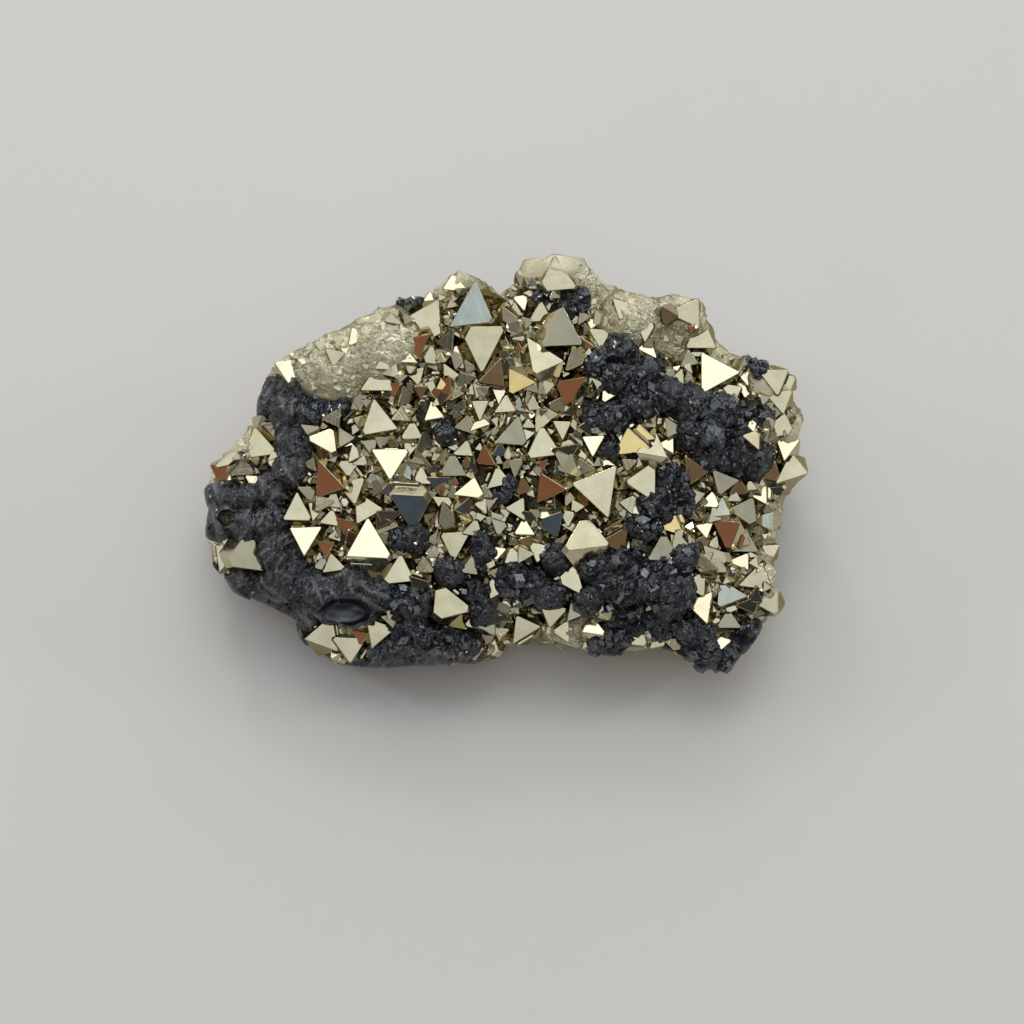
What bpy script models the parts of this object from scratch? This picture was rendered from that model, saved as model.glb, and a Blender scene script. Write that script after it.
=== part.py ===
"""A cabinet specimen of pyrite octahedra on granular pyrite, with black sphalerite grown between them.

Lengths are in millimetres until to_world() turns them into metres. Places are given in the frame of the
crystal face: u to the right, v up the face and w out of it. The face leans back from level by FACE_LEAN,
as the specimen lies on its broken back, so v rises towards +Y.
"""

import math
import random

import bmesh
import bpy
from mathutils import Matrix, Vector

MM = 0.001
FACE_LEAN = math.radians(20)
FACE_HEIGHT = 21.0  # the middle of the face above the table
FACE_SET_BACK = -1.7  # moves the whole specimen along Y, so that the origin is under the middle of its box
FACE_SHIFT = 0.2  # the same along X
GAP = 0.3  # clearance where sphalerite meets pyrite
LIGHTEN = 0.72  # the share of triangles kept, once the slivers that the joins leave are merged

# The broken matrix: a dome that falls to a rounded rim, with walls down to a smaller flat base.
CROWN = 2.0
RIM_FALL = 6.5
RELIEF = 0.6
RINGS = (0.3, 0.55, 0.76, 0.92, 1.0)
WALL_LEVELS = ((0.42, 1.4), (0.9, 0.8))
WALL_RELIEF = 1.6
BASE_SCALE = 0.86
BASE_CENTRE = Vector((-1.0, 3.0))
MIDDLE = Vector((0.0, -2.0))
RIM_INSET = 0.975
RIM_CLEARANCE = 2  # the rim moves out by this many times a swell, as it lies askew

# The specimen's outline on the face, clockwise from the left shoulder.
OUTLINE = (
    (-36.6, 8.1), (-36.3, 11.6), (-34.7, 14.5), (-33.0, 15.9), (-30.2, 17.1), (-26.9, 19.1), (-23.0, 20.7),
    (-18.5, 22.9), (-14.3, 24.4), (-11.0, 25.1), (-8.6, 28.0), (-6.6, 28.5), (-3.3, 27.4), (-0.6, 25.4),
    (1.4, 27.0), (2.8, 30.2), (7.6, 31.2), (12.0, 30.4), (14.6, 27.2), (18.0, 25.9), (21.4, 24.8),
    (25.5, 25.2), (29.6, 23.8), (30.7, 19.8), (34.0, 16.6), (39.0, 15.0), (41.4, 13.6), (43.0, 10.1),
    (45.0, 7.4), (43.6, 3.4), (44.4, -1.4), (42.4, -5.0), (41.7, -8.6), (40.3, -12.5), (40.5, -17.0),
    (40.4, -20.9), (38.4, -24.6), (36.0, -28.2), (33.0, -31.0), (29.5, -30.7), (27.0, -28.8), (23.2, -26.2),
    (20.8, -27.7), (16.5, -28.8), (12.0, -27.9), (6.2, -26.3), (1.5, -26.8), (-3.9, -29.9), (-8.4, -29.9),
    (-13.0, -30.2), (-19.3, -30.6), (-25.0, -30.1), (-29.5, -27.2), (-31.0, -23.5), (-35.0, -21.4),
    (-40.0, -19.1), (-43.2, -15.2), (-44.6, -10.5), (-44.0, -7.0), (-44.8, -4.0), (-43.0, 0.2), (-39.2, 4.0),
)

# Which way a crystal's front face leans from the specimen's own face: (towards, by), in degrees.
LEANS = {
    "flat": (60, 4),
    "up": (95, 20),
    "down": (275, 24),
    "left": (195, 22),
    "right": (350, 17),
    "ridge": (78, 28),
}
LEAN_SCATTER = 5.0  # how far a lean may stray, in degrees
TOWARDS_SCATTER = 3  # its direction strays this many times as far
SINK = 0.42  # how far a front face stands above the matrix, as a share of the crystal's edge

# Each octahedron: the middle of its front face u, v, its edge, the way that face points, and its lean.
CREST_CRYSTALS = (
    (-31.5, 13.6, 4.8, 60, "up"), (-18.2, 11.7, 5.0, 90, "flat"), (-18.3, 6.0, 5.6, 100, "flat"),
    (-11.2, 20.8, 6.4, 65, "ridge"), (-10.9, 24.0, 2.4, 90, "up"), (-7.1, 26.6, 4.4, 90, "up"),
    (-4.6, 22.2, 6.8, 90, "up"), (-3.2, 17.4, 7.4, 270, "flat"), (-1.4, 12.4, 4.2, 315, "left"),
    (-14.0, 15.1, 2.6, 90, "up"), (-12.8, 12.7, 3.0, 45, "flat"), (-8.0, 12.8, 3.0, 0, "flat"),
    (-12.1, 10.4, 2.4, 270, "left"), (7.6, 26.6, 5.4, 230, "flat"), (2.6, 23.6, 2.8, 40, "up"),
    (5.3, 21.6, 3.6, 90, "flat"), (8.4, 18.8, 6.6, 90, "right"), (5.4, 15.2, 6.0, 0, "ridge"),
    (2.1, 16.3, 2.2, 90, "left"), (9.4, 10.5, 5.0, 270, "left"), (11.7, 17.0, 2.8, 0, "left"),
    (14.0, 18.4, 3.4, 150, "flat"), (12.9, 20.4, 2.2, 20, "up"), (15.0, 9.9, 2.8, 0, "up"),
    (26.8, 21.8, 5.0, 60, "flat"), (28.7, 18.4, 5.2, 90, "flat"), (30.6, 13.1, 6.6, 0, "up"),
    (33.2, 10.4, 3.2, 270, "flat"), (35.3, 10.8, 3.0, 20, "up"), (35.4, 13.6, 3.6, 90, "right"),
    (39.4, 11.8, 5.8, 80, "flat"), (23.6, 14.0, 2.4, 90, "down"), (25.4, 12.4, 2.4, 70, "flat"),
    (27.0, 15.0, 3.0, 100, "right"), (20.6, 19.2, 3.0, 30, "flat"), (17.0, 22.4, 3.2, 140, "flat"),
    (-24.6, 15.4, 3.0, 20, "flat"), (-21.6, 18.2, 3.0, 110, "up"), (11.6, 24.6, 3.0, 200, "right"),
)
LEFT_CRYSTALS = (
    (-35.8, 2.4, 5.2, 100, "flat"), (-38.0, -0.8, 3.6, 90, "right"), (-33.2, -0.3, 2.6, 45, "flat"),
    (-41.4, -1.6, 4.0, 270, "left"), (-36.8, -2.6, 2.4, 30, "up"), (-26.0, 3.2, 4.8, 60, "up"),
    (-28.0, 4.6, 3.2, 150, "right"), (-23.2, 3.6, 3.0, 0, "right"), (-25.8, -2.8, 5.4, 350, "left"),
    (-30.0, -7.0, 4.6, 90, "flat"), (-28.9, -10.8, 5.0, 270, "up"), (-25.2, -8.2, 3.0, 80, "flat"),
    (-26.0, -12.4, 3.0, 270, "left"), (-24.8, -14.9, 3.4, 100, "flat"), (-37.2, -14.0, 6.4, 90, "right"),
    (-41.4, -13.4, 4.4, 30, "flat"), (-22.6, -0.6, 3.2, 30, "flat"), (-20.6, 5.8, 3.0, 160, "right"),
    (-26.4, -25.0, 4.6, 70, "flat"), (-23.4, -27.0, 3.8, 30, "up"), (-18.6, -24.4, 3.8, 0, "flat"),
    (-21.0, -25.4, 2.8, 140, "left"), (-15.3, -16.0, 5.0, 90, "flat"), (-8.2, -20.5, 6.4, 110, "flat"),
    (-4.5, -23.2, 2.8, 200, "flat"), (-7.2, -11.6, 4.8, 270, "flat"), (-4.9, -15.2, 3.0, 80, "right"),
    (-1.2, -18.3, 3.2, 0, "flat"), (-2.2, -23.8, 3.2, 60, "right"), (-1.0, -13.0, 2.6, 20, "up"),
    (-4.4, -27.0, 2.6, 100, "up"), (2.8, -24.2, 4.4, 0, "flat"),
)
CENTRE_CRYSTALS = (
    (-16.5, 0.4, 5.6, 270, "up"), (-3.5, 7.9, 3.0, 270, "flat"), (-10.3, 7.2, 3.2, 340, "up"),
    (0.2, 8.2, 3.2, 90, "flat"), (-13.4, 4.4, 3.4, 90, "flat"), (-5.8, 1.8, 3.0, 80, "flat"),
    (-7.4, -0.8, 4.2, 90, "right"), (-2.8, 0.7, 3.4, 330, "left"), (-0.6, 1.6, 2.6, 90, "down"),
    (-0.8, -2.4, 3.6, 100, "flat"), (-4.8, -4.0, 4.2, 80, "up"), (-12.0, -2.2, 3.0, 90, "flat"),
    (-9.6, -3.0, 3.4, 150, "down"), (-8.8, -6.0, 3.2, 30, "flat"), (-15.9, -3.8, 4.2, 200, "down"),
    (-13.4, -6.6, 6.2, 30, "down"), (-20.2, -6.6, 4.8, 120, "flat"), (-19.6, -11.8, 7.0, 90, "up"),
    (-9.4, 3.4, 2.8, 10, "flat"), (-19.4, 2.4, 2.8, 40, "right"), (1.4, 4.0, 5.0, 80, "right"),
    (5.6, 2.4, 5.4, 95, "flat"), (8.4, 5.0, 3.0, 30, "flat"), (12.9, 2.8, 3.6, 150, "up"),
    (15.0, -0.6, 2.8, 0, "up"), (19.8, 2.4, 6.8, 90, "ridge"), (13.7, -3.9, 7.4, 50, "flat"),
    (20.4, -2.8, 5.6, 60, "flat"), (6.3, -3.8, 4.8, 355, "left"), (2.8, -3.6, 3.0, 100, "left"),
    (2.0, -6.7, 3.4, 60, "flat"), (2.9, -9.6, 3.2, 90, "up"), (6.9, -8.9, 4.6, 50, "down"),
    (11.8, -10.7, 7.0, 95, "ridge"), (16.4, -11.3, 4.4, 60, "left"), (5.0, -12.8, 3.4, 20, "flat"),
    (9.8, -17.0, 4.6, 70, "flat"), (7.0, -22.0, 4.0, 20, "flat"), (10.4, -21.6, 3.4, 110, "right"),
    (8.6, -24.6, 3.2, 60, "flat"), (13.0, -24.0, 3.6, 90, "up"), (14.7, -18.4, 3.0, 0, "left"),
    (19.6, -25.6, 3.4, 80, "flat"), (22.4, -26.0, 3.0, 100, "flat"), (9.6, -4.8, 3.0, 240, "right"),
)
RIGHT_CRYSTALS = (
    (40.2, 5.4, 5.0, 90, "flat"), (41.2, 2.6, 4.2, 20, "up"), (42.0, -1.0, 4.8, 100, "flat"),
    (39.2, -1.6, 3.4, 200, "left"), (23.8, 2.6, 2.8, 60, "up"), (24.4, 5.0, 3.2, 0, "right"),
    (27.5, -1.4, 4.4, 0, "left"), (31.9, -2.8, 4.2, 250, "right"), (30.0, -5.6, 3.2, 80, "up"),
    (34.2, -3.8, 3.0, 90, "down"), (37.4, -4.6, 3.2, 60, "up"), (35.3, -7.2, 4.8, 300, "right"),
    (38.2, -8.4, 3.4, 60, "right"), (32.4, -10.1, 5.0, 270, "left"), (29.2, -9.6, 2.8, 40, "up"),
    (24.0, -8.6, 4.8, 80, "flat"), (23.2, -12.8, 5.0, 90, "right"), (35.2, -11.8, 4.2, 90, "right"),
    (34.6, -14.4, 3.2, 60, "up"), (36.9, -17.0, 4.8, 80, "flat"), (38.6, -20.2, 4.6, 300, "flat"),
    (28.1, -17.6, 4.0, 300, "flat"), (28.7, -20.9, 4.6, 290, "up"), (32.6, -19.2, 4.8, 355, "right"),
    (32.8, -23.2, 3.6, 90, "right"), (31.4, -26.2, 3.4, 135, "up"), (39.0, -13.0, 3.0, 30, "flat"),
)

# Rounded lobes of granular pyrite: middle u, v, height above the rim's dome, and radius.
LOBES = (
    (7.5, 27.0, -1.0, 5.0), (12.8, 25.6, -1.0, 3.6), (18.6, 20.8, 0.4, 4.6), (26.6, 21.2, -0.6, 4.6),
    (38.8, 11.2, -0.4, 4.4), (-24.5, 14.0, -0.2, 6.0), (-17.5, 16.6, 0.2, 6.0), (-41.0, -13.0, -0.6, 4.0),
    (-7.0, 25.4, -1.0, 3.6), (36.4, 3.8, 0.2, 3.0), (41.2, 4.4, -0.6, 3.4), (-38.5, 1.6, -0.4, 4.0),
    (-31.6, 13.8, -0.6, 3.4), (37.4, -17.6, -0.2, 4.0), (20.0, -25.4, -0.4, 3.4), (9.0, -25.2, -0.4, 3.4),
)

# The sphalerite masses: knots of blende as middle u, v and radius.
SPHALERITE = {
    "sphalerite_left": (
        (-34.8, 8.6, 2.4), (-33.6, 11.2, 1.7), (-30.6, 10.0, 2.6), (-27.0, 8.0, 2.2), (-24.0, 8.0, 1.5),
        (-31.0, 6.2, 2.7), (-30.4, 2.4, 2.5), (-31.0, -1.2, 2.6), (-33.8, -4.0, 2.7), (-37.2, -5.2, 2.5),
        (-40.2, -5.0, 2.5), (-43.0, -5.2, 1.9), (-41.6, -8.8, 3.0), (-37.4, -9.2, 2.6), (-33.4, -8.6, 2.6),
        (-33.0, -12.6, 2.9), (-31.0, -16.6, 3.2), (-34.6, -18.6, 2.7), (-38.8, -17.8, 2.5), (-42.4, -14.6, 2.2),
        (-26.6, -18.6, 3.0), (-28.6, -22.0, 2.6), (-22.2, -17.8, 2.8), (-18.4, -19.0, 2.8), (-30.0, -25.6, 1.8),
        (-13.4, -20.6, 3.0), (-13.6, -25.0, 3.3), (-16.8, -27.4, 2.8), (-9.2, -26.4, 3.0), (-10.8, -28.2, 2.2),
        (-5.8, -26.4, 2.2),
    ),
    "sphalerite_lower_right": (
        (13.4, -15.2, 2.5), (17.4, -14.6, 2.6), (16.6, -18.6, 3.0), (20.2, -18.0, 2.6), (18.8, -22.0, 3.0),
        (22.8, -15.8, 2.6), (24.4, -19.4, 3.0), (23.4, -23.2, 2.6), (16.4, -24.6, 2.7), (15.0, -26.4, 2.3),
        (12.4, -19.6, 2.2), (27.6, -24.4, 2.6), (28.6, -27.6, 3.0), (32.8, -28.6, 2.7), (35.8, -25.4, 2.5),
        (26.2, -14.0, 2.4),
    ),
    "sphalerite_right_centre": ((24.4, -3.0, 2.4), (25.2, -5.4, 2.4), (22.0, -6.6, 2.5), (20.0, -9.6, 2.6)),
    "sphalerite_foot_centre": ((1.4, -17.0, 2.3), (4.4, -17.4, 2.3), (6.4, -19.0, 2.2)),
    "sphalerite_foot_left": ((-4.3, -19.2, 2.1), (-3.4, -21.4, 1.8)),
    "sphalerite_ball_foot": ((7.6, -13.8, 2.2),),
    "sphalerite_upper_right": (
        (17.0, 16.4, 2.3), (13.6, 13.8, 1.9), (16.2, 12.4, 2.6), (20.6, 12.6, 2.7), (19.6, 8.8, 2.5),
        (23.8, 9.6, 2.6), (16.0, 6.4, 2.2), (12.8, 7.0, 1.9), (27.6, 8.0, 2.7), (26.6, 4.6, 2.2),
        (31.4, 7.2, 2.5), (29.8, 3.6, 2.7), (33.6, 4.0, 2.4), (32.6, 0.2, 2.4), (36.0, 0.6, 2.6),
        (29.6, 0.6, 1.9), (37.4, 7.2, 1.8), (34.8, 7.0, 1.8),
    ),
    "sphalerite_crest": ((-14.5, 22.8, 1.9), (-13.4, 23.8, 1.3)),
    "sphalerite_notch": ((10.6, 23.6, 1.9), (9.4, 22.4, 1.3)),
    "sphalerite_notch_left": ((5.4, 24.2, 1.3),),
    "sphalerite_shoulder": ((37.4, 13.4, 1.3), (36.0, 14.8, 1.2)),
    "sphalerite_ball_upper": ((-8.6, 4.3, 1.8),),
    "sphalerite_ball_middle": ((0.5, -3.2, 1.6), (-0.3, -4.3, 1.3)),
    "sphalerite_ball_left": ((-13.0, -10.8, 2.3), (-15.4, -11.2, 1.7)),
    "sphalerite_ball_low": ((-7.9, -15.6, 2.2),),
    "sphalerite_ball_centre": ((-3.2, -11.4, 1.7), (-3.0, -13.6, 1.6)),
    "sphalerite_ball_right": ((15.2, 2.0, 1.5),),
}
KNOT_CORNERS = 13
KNOT_FLATTENING = 0.85
KNOT_RISE = 0.3  # a knot's middle above the matrix, as a share of its radius
KNOT_DEPTH = 0.7  # a knot's flats lie at least this share of its radius from its middle
KNOT_SPREAD = 1.14  # how much larger than its listed radius a knot grows, into its neighbours
KNOT_UNEVEN = (0.94, 1.12)  # the least and greatest distance of its corners, as a share of that
KNOT_STRAY = 0.3  # how far a corner strays round the knot from its even place, in radians
KNOT_REACH = 1.5  # no knot reaches farther than this many radii

PYRITE_COLOUR = (0.52, 0.48, 0.34)
PYRITE_ROUGHNESS = 0.2
SPHALERITE_COLOUR = (0.03, 0.03, 0.035)
SPHALERITE_ROUGHNESS = 0.35


def to_world(place):
    """A place on the crystal face, in millimetres, as a point in the specimen's frame, in metres."""
    u, v, w = place
    along, out = math.cos(FACE_LEAN), math.sin(FACE_LEAN)
    x = u + FACE_SHIFT
    y = v * along - w * out + FACE_SET_BACK
    z = FACE_HEIGHT + v * out + w * along
    return Vector((x, y, z)) * MM


def rim_radius(angle):
    """The outline's distance from the middle in that direction, along straight runs between its points."""
    points = [Vector(p) - MIDDLE for p in OUTLINE]
    ray = Vector((math.cos(angle), math.sin(angle)))
    best = 0.0
    for a, b in zip(points, points[1:] + points[:1]):
        side = b - a
        across = ray.cross(side)
        if abs(across) < 1e-9:
            continue
        far = a.cross(side) / across
        share = a.cross(ray) / across
        if far > 0 and -1e-6 <= share <= 1 + 1e-6:
            best = max(best, far)
    return best


def broken(a, b):
    """The broken relief there, from -1 to 1: two crossed swells and a shorter pair at half their height."""
    swell = math.sin(0.62 * a + 0.35 * b + 0.6) * math.sin(0.28 * a - 0.66 * b + 2.1)
    chop = math.sin(1.1 * a - 0.7 * b + 4.0) * math.sin(0.5 * a + 1.2 * b + 1.0)
    return (swell + 0.5 * chop) / 1.5


def matrix_height(u, v):
    """How far the matrix stands out there: a crown that falls steeply at the rim, with broken relief."""
    offset = Vector((u, v)) - MIDDLE
    reach = offset.length / max(rim_radius(math.atan2(offset.y, offset.x)) * RIM_INSET, 1.0)
    return CROWN - RIM_FALL * min(reach, 1.0) ** 4 + RELIEF * broken(u, v)


def new_mesh(name, mesh_work):
    """An object made from a bmesh, which it frees."""
    bmesh.ops.recalc_face_normals(mesh_work, faces=mesh_work.faces)
    mesh = bpy.data.meshes.new(name)
    mesh_work.to_mesh(mesh)
    mesh_work.free()
    thing = bpy.data.objects.new(name, mesh)
    bpy.context.scene.collection.objects.link(thing)
    return thing


def ring_of_face(share, swell):
    """One ring of the matrix's front, that share of the way out. A swell raises it, and the rim moves outwards."""
    ring = []
    for point in OUTLINE:
        spoke = Vector(point) - MIDDLE
        outward = spoke.normalized() * (RIM_CLEARANCE * swell if share == 1 else 0)
        flat = MIDDLE + spoke * share * RIM_INSET
        ring.append(to_world((*(flat + outward), matrix_height(*flat) + swell)))
    return ring


def ring_of_wall(rim, base, level, bulge):
    """One ring of the wall, at that share of the way down from the rim to the base, swelling and broken."""
    ring = []
    for top, foot in zip(rim, base):
        point = top.lerp(foot, level)
        outward = Vector((foot.x, foot.y, 0)).normalized()
        rough = broken((point.x + point.y) / MM, point.z / MM)
        ring.append(point + outward * (bulge + WALL_RELIEF * rough) * MM)
    return ring


def build_matrix(swell):
    """The granular mass as one closed body: rings over the front, rings down the wall, and a flat base.

    With a swell it is the space that the mass and its clearance fill: front and wall stand out by swell.
    """
    work = bmesh.new()
    rim = ring_of_face(1.0, 0)
    base = []
    for point in OUTLINE:
        flat = (Vector(point) - MIDDLE) * BASE_SCALE + BASE_CENTRE
        base.append(Vector((flat.x + FACE_SHIFT, flat.y * math.cos(FACE_LEAN) + FACE_SET_BACK, 0.0)) * MM)
    levels = [ring_of_face(share, swell) for share in RINGS]
    levels += [ring_of_wall(rim, base, level, bulge + swell) for level, bulge in WALL_LEVELS]
    levels.append(base)
    crown = work.verts.new(to_world((*MIDDLE, matrix_height(*MIDDLE) + swell)))
    rows = [[work.verts.new(point) for point in ring] for ring in levels]
    count = len(OUTLINE)
    for i in range(count):
        work.faces.new((crown, rows[0][i], rows[0][(i + 1) % count]))
    for upper, lower in zip(rows, rows[1:]):
        for i in range(count):
            j = (i + 1) % count
            work.faces.new((upper[i], lower[i], lower[j]))
            work.faces.new((upper[i], lower[j], upper[j]))
    work.faces.new(rows[-1])
    return new_mesh("matrix", work)


def octahedron(name, middle, edge, turn):
    """A regular octahedron about that middle. Its corners lie along the three axes, turned as given."""
    work = bmesh.new()
    reach = edge / math.sqrt(2)
    for axis in (Vector((1, 0, 0)), Vector((0, 1, 0)), Vector((0, 0, 1))):
        for way in (1, -1):
            work.verts.new(to_world(Vector(middle) + turn @ (axis * way * reach)))
    bmesh.ops.convex_hull(work, input=work.verts)
    return new_mesh(name, work)


def crystal_turn(point, towards, lean):
    """The turn that brings one octahedron face to the front, pointing and leaning as given, in degrees."""
    face_to_front = Vector((1, 1, 1)).rotation_difference(Vector((0, 0, 1))).to_matrix()
    corner = face_to_front @ Vector((1, 0, 0))
    spin = Matrix.Rotation(math.radians(point) - math.atan2(corner.y, corner.x), 3, "Z")
    away = math.radians(towards)
    axis = Vector((-math.sin(away), math.cos(away), 0))
    return Matrix.Rotation(math.radians(lean), 3, axis) @ spin @ face_to_front


def place_crystals(rows):
    """The middle, edge and turn of each octahedron of one table, its lean a little scattered."""
    shuffle = random.Random(len(rows))
    placed = []
    for u, v, edge, point, lean_name in rows:
        towards, lean = LEANS[lean_name]
        towards += shuffle.uniform(-LEAN_SCATTER, LEAN_SCATTER) * TOWARDS_SCATTER
        lean += shuffle.uniform(-LEAN_SCATTER, LEAN_SCATTER)
        turn = crystal_turn(point, towards, lean)
        front = turn @ Vector((1, 1, 1)).normalized()
        face = Vector((u, v, matrix_height(u, v) + SINK * edge))
        placed.append((face - front * edge / math.sqrt(6), edge, turn))
    return placed


def build_crystals(placed, swell):
    """Those octahedra, each grown by swell on every side."""
    return [
        octahedron(f"crystal_{i}", middle, edge + swell * math.sqrt(6), turn)
        for i, (middle, edge, turn) in enumerate(placed)
    ]


def crystals_near(placed, knots):
    """The octahedra that may reach one of those knots."""
    return [
        crystal
        for crystal in placed
        if any(math.dist(crystal[0][:2], (u, v)) < crystal[1] + KNOT_REACH * radius for u, v, radius in knots)
    ]


def build_knot(name, u, v, radius, rise, swell, seed):
    """A faceted knot: the hull of corners scattered evenly over a flattened ball, a golden angle apart."""
    shuffle = random.Random(seed)
    work = bmesh.new()
    golden = math.pi * (3 - math.sqrt(5))
    grown = radius * KNOT_SPREAD + swell / KNOT_DEPTH
    for i in range(KNOT_CORNERS):
        height = 1 - 2 * (i + 0.5) / KNOT_CORNERS
        level = math.sqrt(1 - height * height)
        angle = golden * i + shuffle.uniform(-KNOT_STRAY, KNOT_STRAY) + seed
        uneven = grown * shuffle.uniform(*KNOT_UNEVEN)
        corner = Vector((math.cos(angle) * level, math.sin(angle) * level, height * KNOT_FLATTENING))
        work.verts.new(to_world(Vector((u, v, rise)) + corner * uneven))
    bmesh.ops.convex_hull(work, input=work.verts)
    return new_mesh(name, work)


def build_knots(name, knots, swell):
    """All the knots of one sphalerite mass, each grown by swell on every side."""
    made = []
    for i, (u, v, radius) in enumerate(knots):
        seed = len(name) * 100 + i
        rise = matrix_height(u, v) + KNOT_RISE * radius
        made.append(build_knot(f"{name}_{i}", u, v, radius, rise, swell, seed))
    return made


def build_lobes(swell):
    """The rounded lobes of granular pyrite, each grown by swell on every side."""
    return [
        build_knot(f"lobe_{i}", u, v, radius, matrix_height(u, v) + rise, swell, i)
        for i, (u, v, rise, radius) in enumerate(LOBES)
    ]


def combine(target, others, operation):
    """Joins the others to the target, or cuts them from it, and takes the others away.

    Crystals that only touch along an edge pinch the exact solver's surface there, so the manifold one is used.
    """
    helpers = bpy.data.collections.new("helpers")
    bpy.context.scene.collection.children.link(helpers)
    for other in others:
        helpers.objects.link(other)
    boolean = target.modifiers.new("combine", "BOOLEAN")
    boolean.operation = operation
    boolean.solver = "MANIFOLD"
    boolean.operand_type = "COLLECTION"
    boolean.collection = helpers
    bpy.context.view_layer.update()
    graph = bpy.context.evaluated_depsgraph_get()
    result = bpy.data.meshes.new_from_object(target.evaluated_get(graph))
    target.modifiers.clear()
    target.data = result
    for other in others:
        bpy.data.objects.remove(other)
    bpy.data.collections.remove(helpers)


def keep_largest(thing):
    """Leaves only the largest of the bodies in a mesh, and its surface in triangles."""
    work = bmesh.new()
    work.from_mesh(thing.data)
    left = set(work.faces)
    bodies = []
    while left:
        waiting = [left.pop()]
        body = list(waiting)
        while waiting:
            borders = [edge.link_faces for edge in waiting.pop().edges if len(edge.link_faces) == 2]
            beside = {face for pair in borders for face in pair} & left
            left -= beside
            waiting += beside
            body += beside
        bodies.append(body)
    bodies.sort(key=len)
    for body in bodies[:-1]:
        bmesh.ops.delete(work, geom=body, context="FACES")
    bmesh.ops.delete(work, geom=[v for v in work.verts if not v.link_faces], context="VERTS")
    bmesh.ops.triangulate(work, faces=work.faces)
    work.to_mesh(thing.data)
    work.free()


def lighten(thing, share):
    """Merges the smallest slivers that the joins left, down to that share of the triangles."""
    decimate = thing.modifiers.new("lighten", "DECIMATE")
    decimate.ratio = share
    bpy.context.view_layer.update()
    graph = bpy.context.evaluated_depsgraph_get()
    result = bpy.data.meshes.new_from_object(thing.evaluated_get(graph))
    thing.modifiers.clear()
    thing.data = result


def finish(thing, material):
    """Leaves one light body in that material."""
    keep_largest(thing)
    lighten(thing, LIGHTEN)
    thing.data.materials.clear()
    thing.data.materials.append(material)


def finish_of(name, colour, roughness, metallic):
    """A plain Principled material."""
    material = bpy.data.materials.new(name)
    material.use_nodes = True
    shader = material.node_tree.nodes["Principled BSDF"]
    shader.inputs["Base Color"].default_value = (*colour, 1.0)
    shader.inputs["Roughness"].default_value = roughness
    shader.inputs["Metallic"].default_value = metallic
    return material


def main():
    for thing in list(bpy.data.objects):
        bpy.data.objects.remove(thing)

    crystals = place_crystals(CREST_CRYSTALS) + place_crystals(LEFT_CRYSTALS)
    crystals += place_crystals(CENTRE_CRYSTALS) + place_crystals(RIGHT_CRYSTALS)
    pyrite_finish = finish_of("pyrite", PYRITE_COLOUR, PYRITE_ROUGHNESS, 1.0)
    sphalerite_finish = finish_of("sphalerite", SPHALERITE_COLOUR, SPHALERITE_ROUGHNESS, 0.0)

    pyrite = build_matrix(0)
    pyrite.name = "pyrite"
    combine(pyrite, build_lobes(0) + build_crystals(crystals, 0), "UNION")
    finish(pyrite, pyrite_finish)

    for name, knots in SPHALERITE.items():
        mass, *others = build_knots(name, knots, 0)
        mass.name = name
        if others:
            combine(mass, others, "UNION")
        near = crystals_near(crystals, knots)
        combine(mass, [build_matrix(GAP)] + build_lobes(GAP) + build_crystals(near, GAP), "DIFFERENCE")
        finish(mass, sphalerite_finish)


main()
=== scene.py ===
"""The looks of a cabinet specimen: pyrite octahedra crowded over granular pyrite, with black sphalerite.

Places are given in the frame of the crystal face, in millimetres: u to the right, v up the face and w out
of it. to_world turns them into the specimen's own frame, in metres.
"""

import itertools
import logging
import math
import random
from dataclasses import dataclass, field
from enum import Enum

import bmesh
import bpy
import numpy as np
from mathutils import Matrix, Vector

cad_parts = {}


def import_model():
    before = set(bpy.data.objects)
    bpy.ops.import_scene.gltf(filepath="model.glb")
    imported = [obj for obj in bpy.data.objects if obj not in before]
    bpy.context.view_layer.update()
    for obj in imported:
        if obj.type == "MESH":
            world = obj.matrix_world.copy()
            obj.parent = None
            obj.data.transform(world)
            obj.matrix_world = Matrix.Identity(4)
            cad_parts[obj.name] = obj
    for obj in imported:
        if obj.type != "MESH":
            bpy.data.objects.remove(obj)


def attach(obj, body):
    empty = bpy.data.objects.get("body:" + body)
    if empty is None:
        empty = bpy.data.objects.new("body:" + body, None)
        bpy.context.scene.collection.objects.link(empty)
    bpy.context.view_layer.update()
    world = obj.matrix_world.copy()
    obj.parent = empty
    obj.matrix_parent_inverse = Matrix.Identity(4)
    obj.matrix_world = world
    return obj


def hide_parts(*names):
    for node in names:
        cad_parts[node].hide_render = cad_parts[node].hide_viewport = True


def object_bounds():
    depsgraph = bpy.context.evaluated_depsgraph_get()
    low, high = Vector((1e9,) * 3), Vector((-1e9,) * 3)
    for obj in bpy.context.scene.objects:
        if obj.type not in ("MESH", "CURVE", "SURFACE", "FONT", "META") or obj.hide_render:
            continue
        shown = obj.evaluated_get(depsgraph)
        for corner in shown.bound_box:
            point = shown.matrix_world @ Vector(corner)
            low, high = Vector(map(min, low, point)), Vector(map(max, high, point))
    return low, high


log = logging.getLogger("specimen")
MM = 0.001
ROOT_BODY = "root"

# ---- The specimen's sizes and places, as in the part's source ----

# The matrix's dome: how far its crown stands out of the crystal face, its fall to the rim, and its relief.
CROWN = 2.0
RIM_FALL = 6.5
RELIEF = 0.6
# Its wall: the height of its relief, and its bulge at each share of the way down.
WALL_RELIEF = 1.6
WALL_LEVELS = ((0.0, 0.0), (0.42, 1.4), (0.9, 0.8), (1.0, 0.0))
# Its foot: the outline's size there, as a share, and the middle of it.
BASE_SCALE = 0.86
BASE_CENTRE = np.array((-1.0, 3.0))
# The outline's middle, and how far in from it the front's rim lies, as a share.
MIDDLE = np.array((0.0, -2.0))
RIM_INSET = 0.975
# How softly a lobe flows into the matrix, in millimetres.
LOBE_FLOW = 1.6
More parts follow.
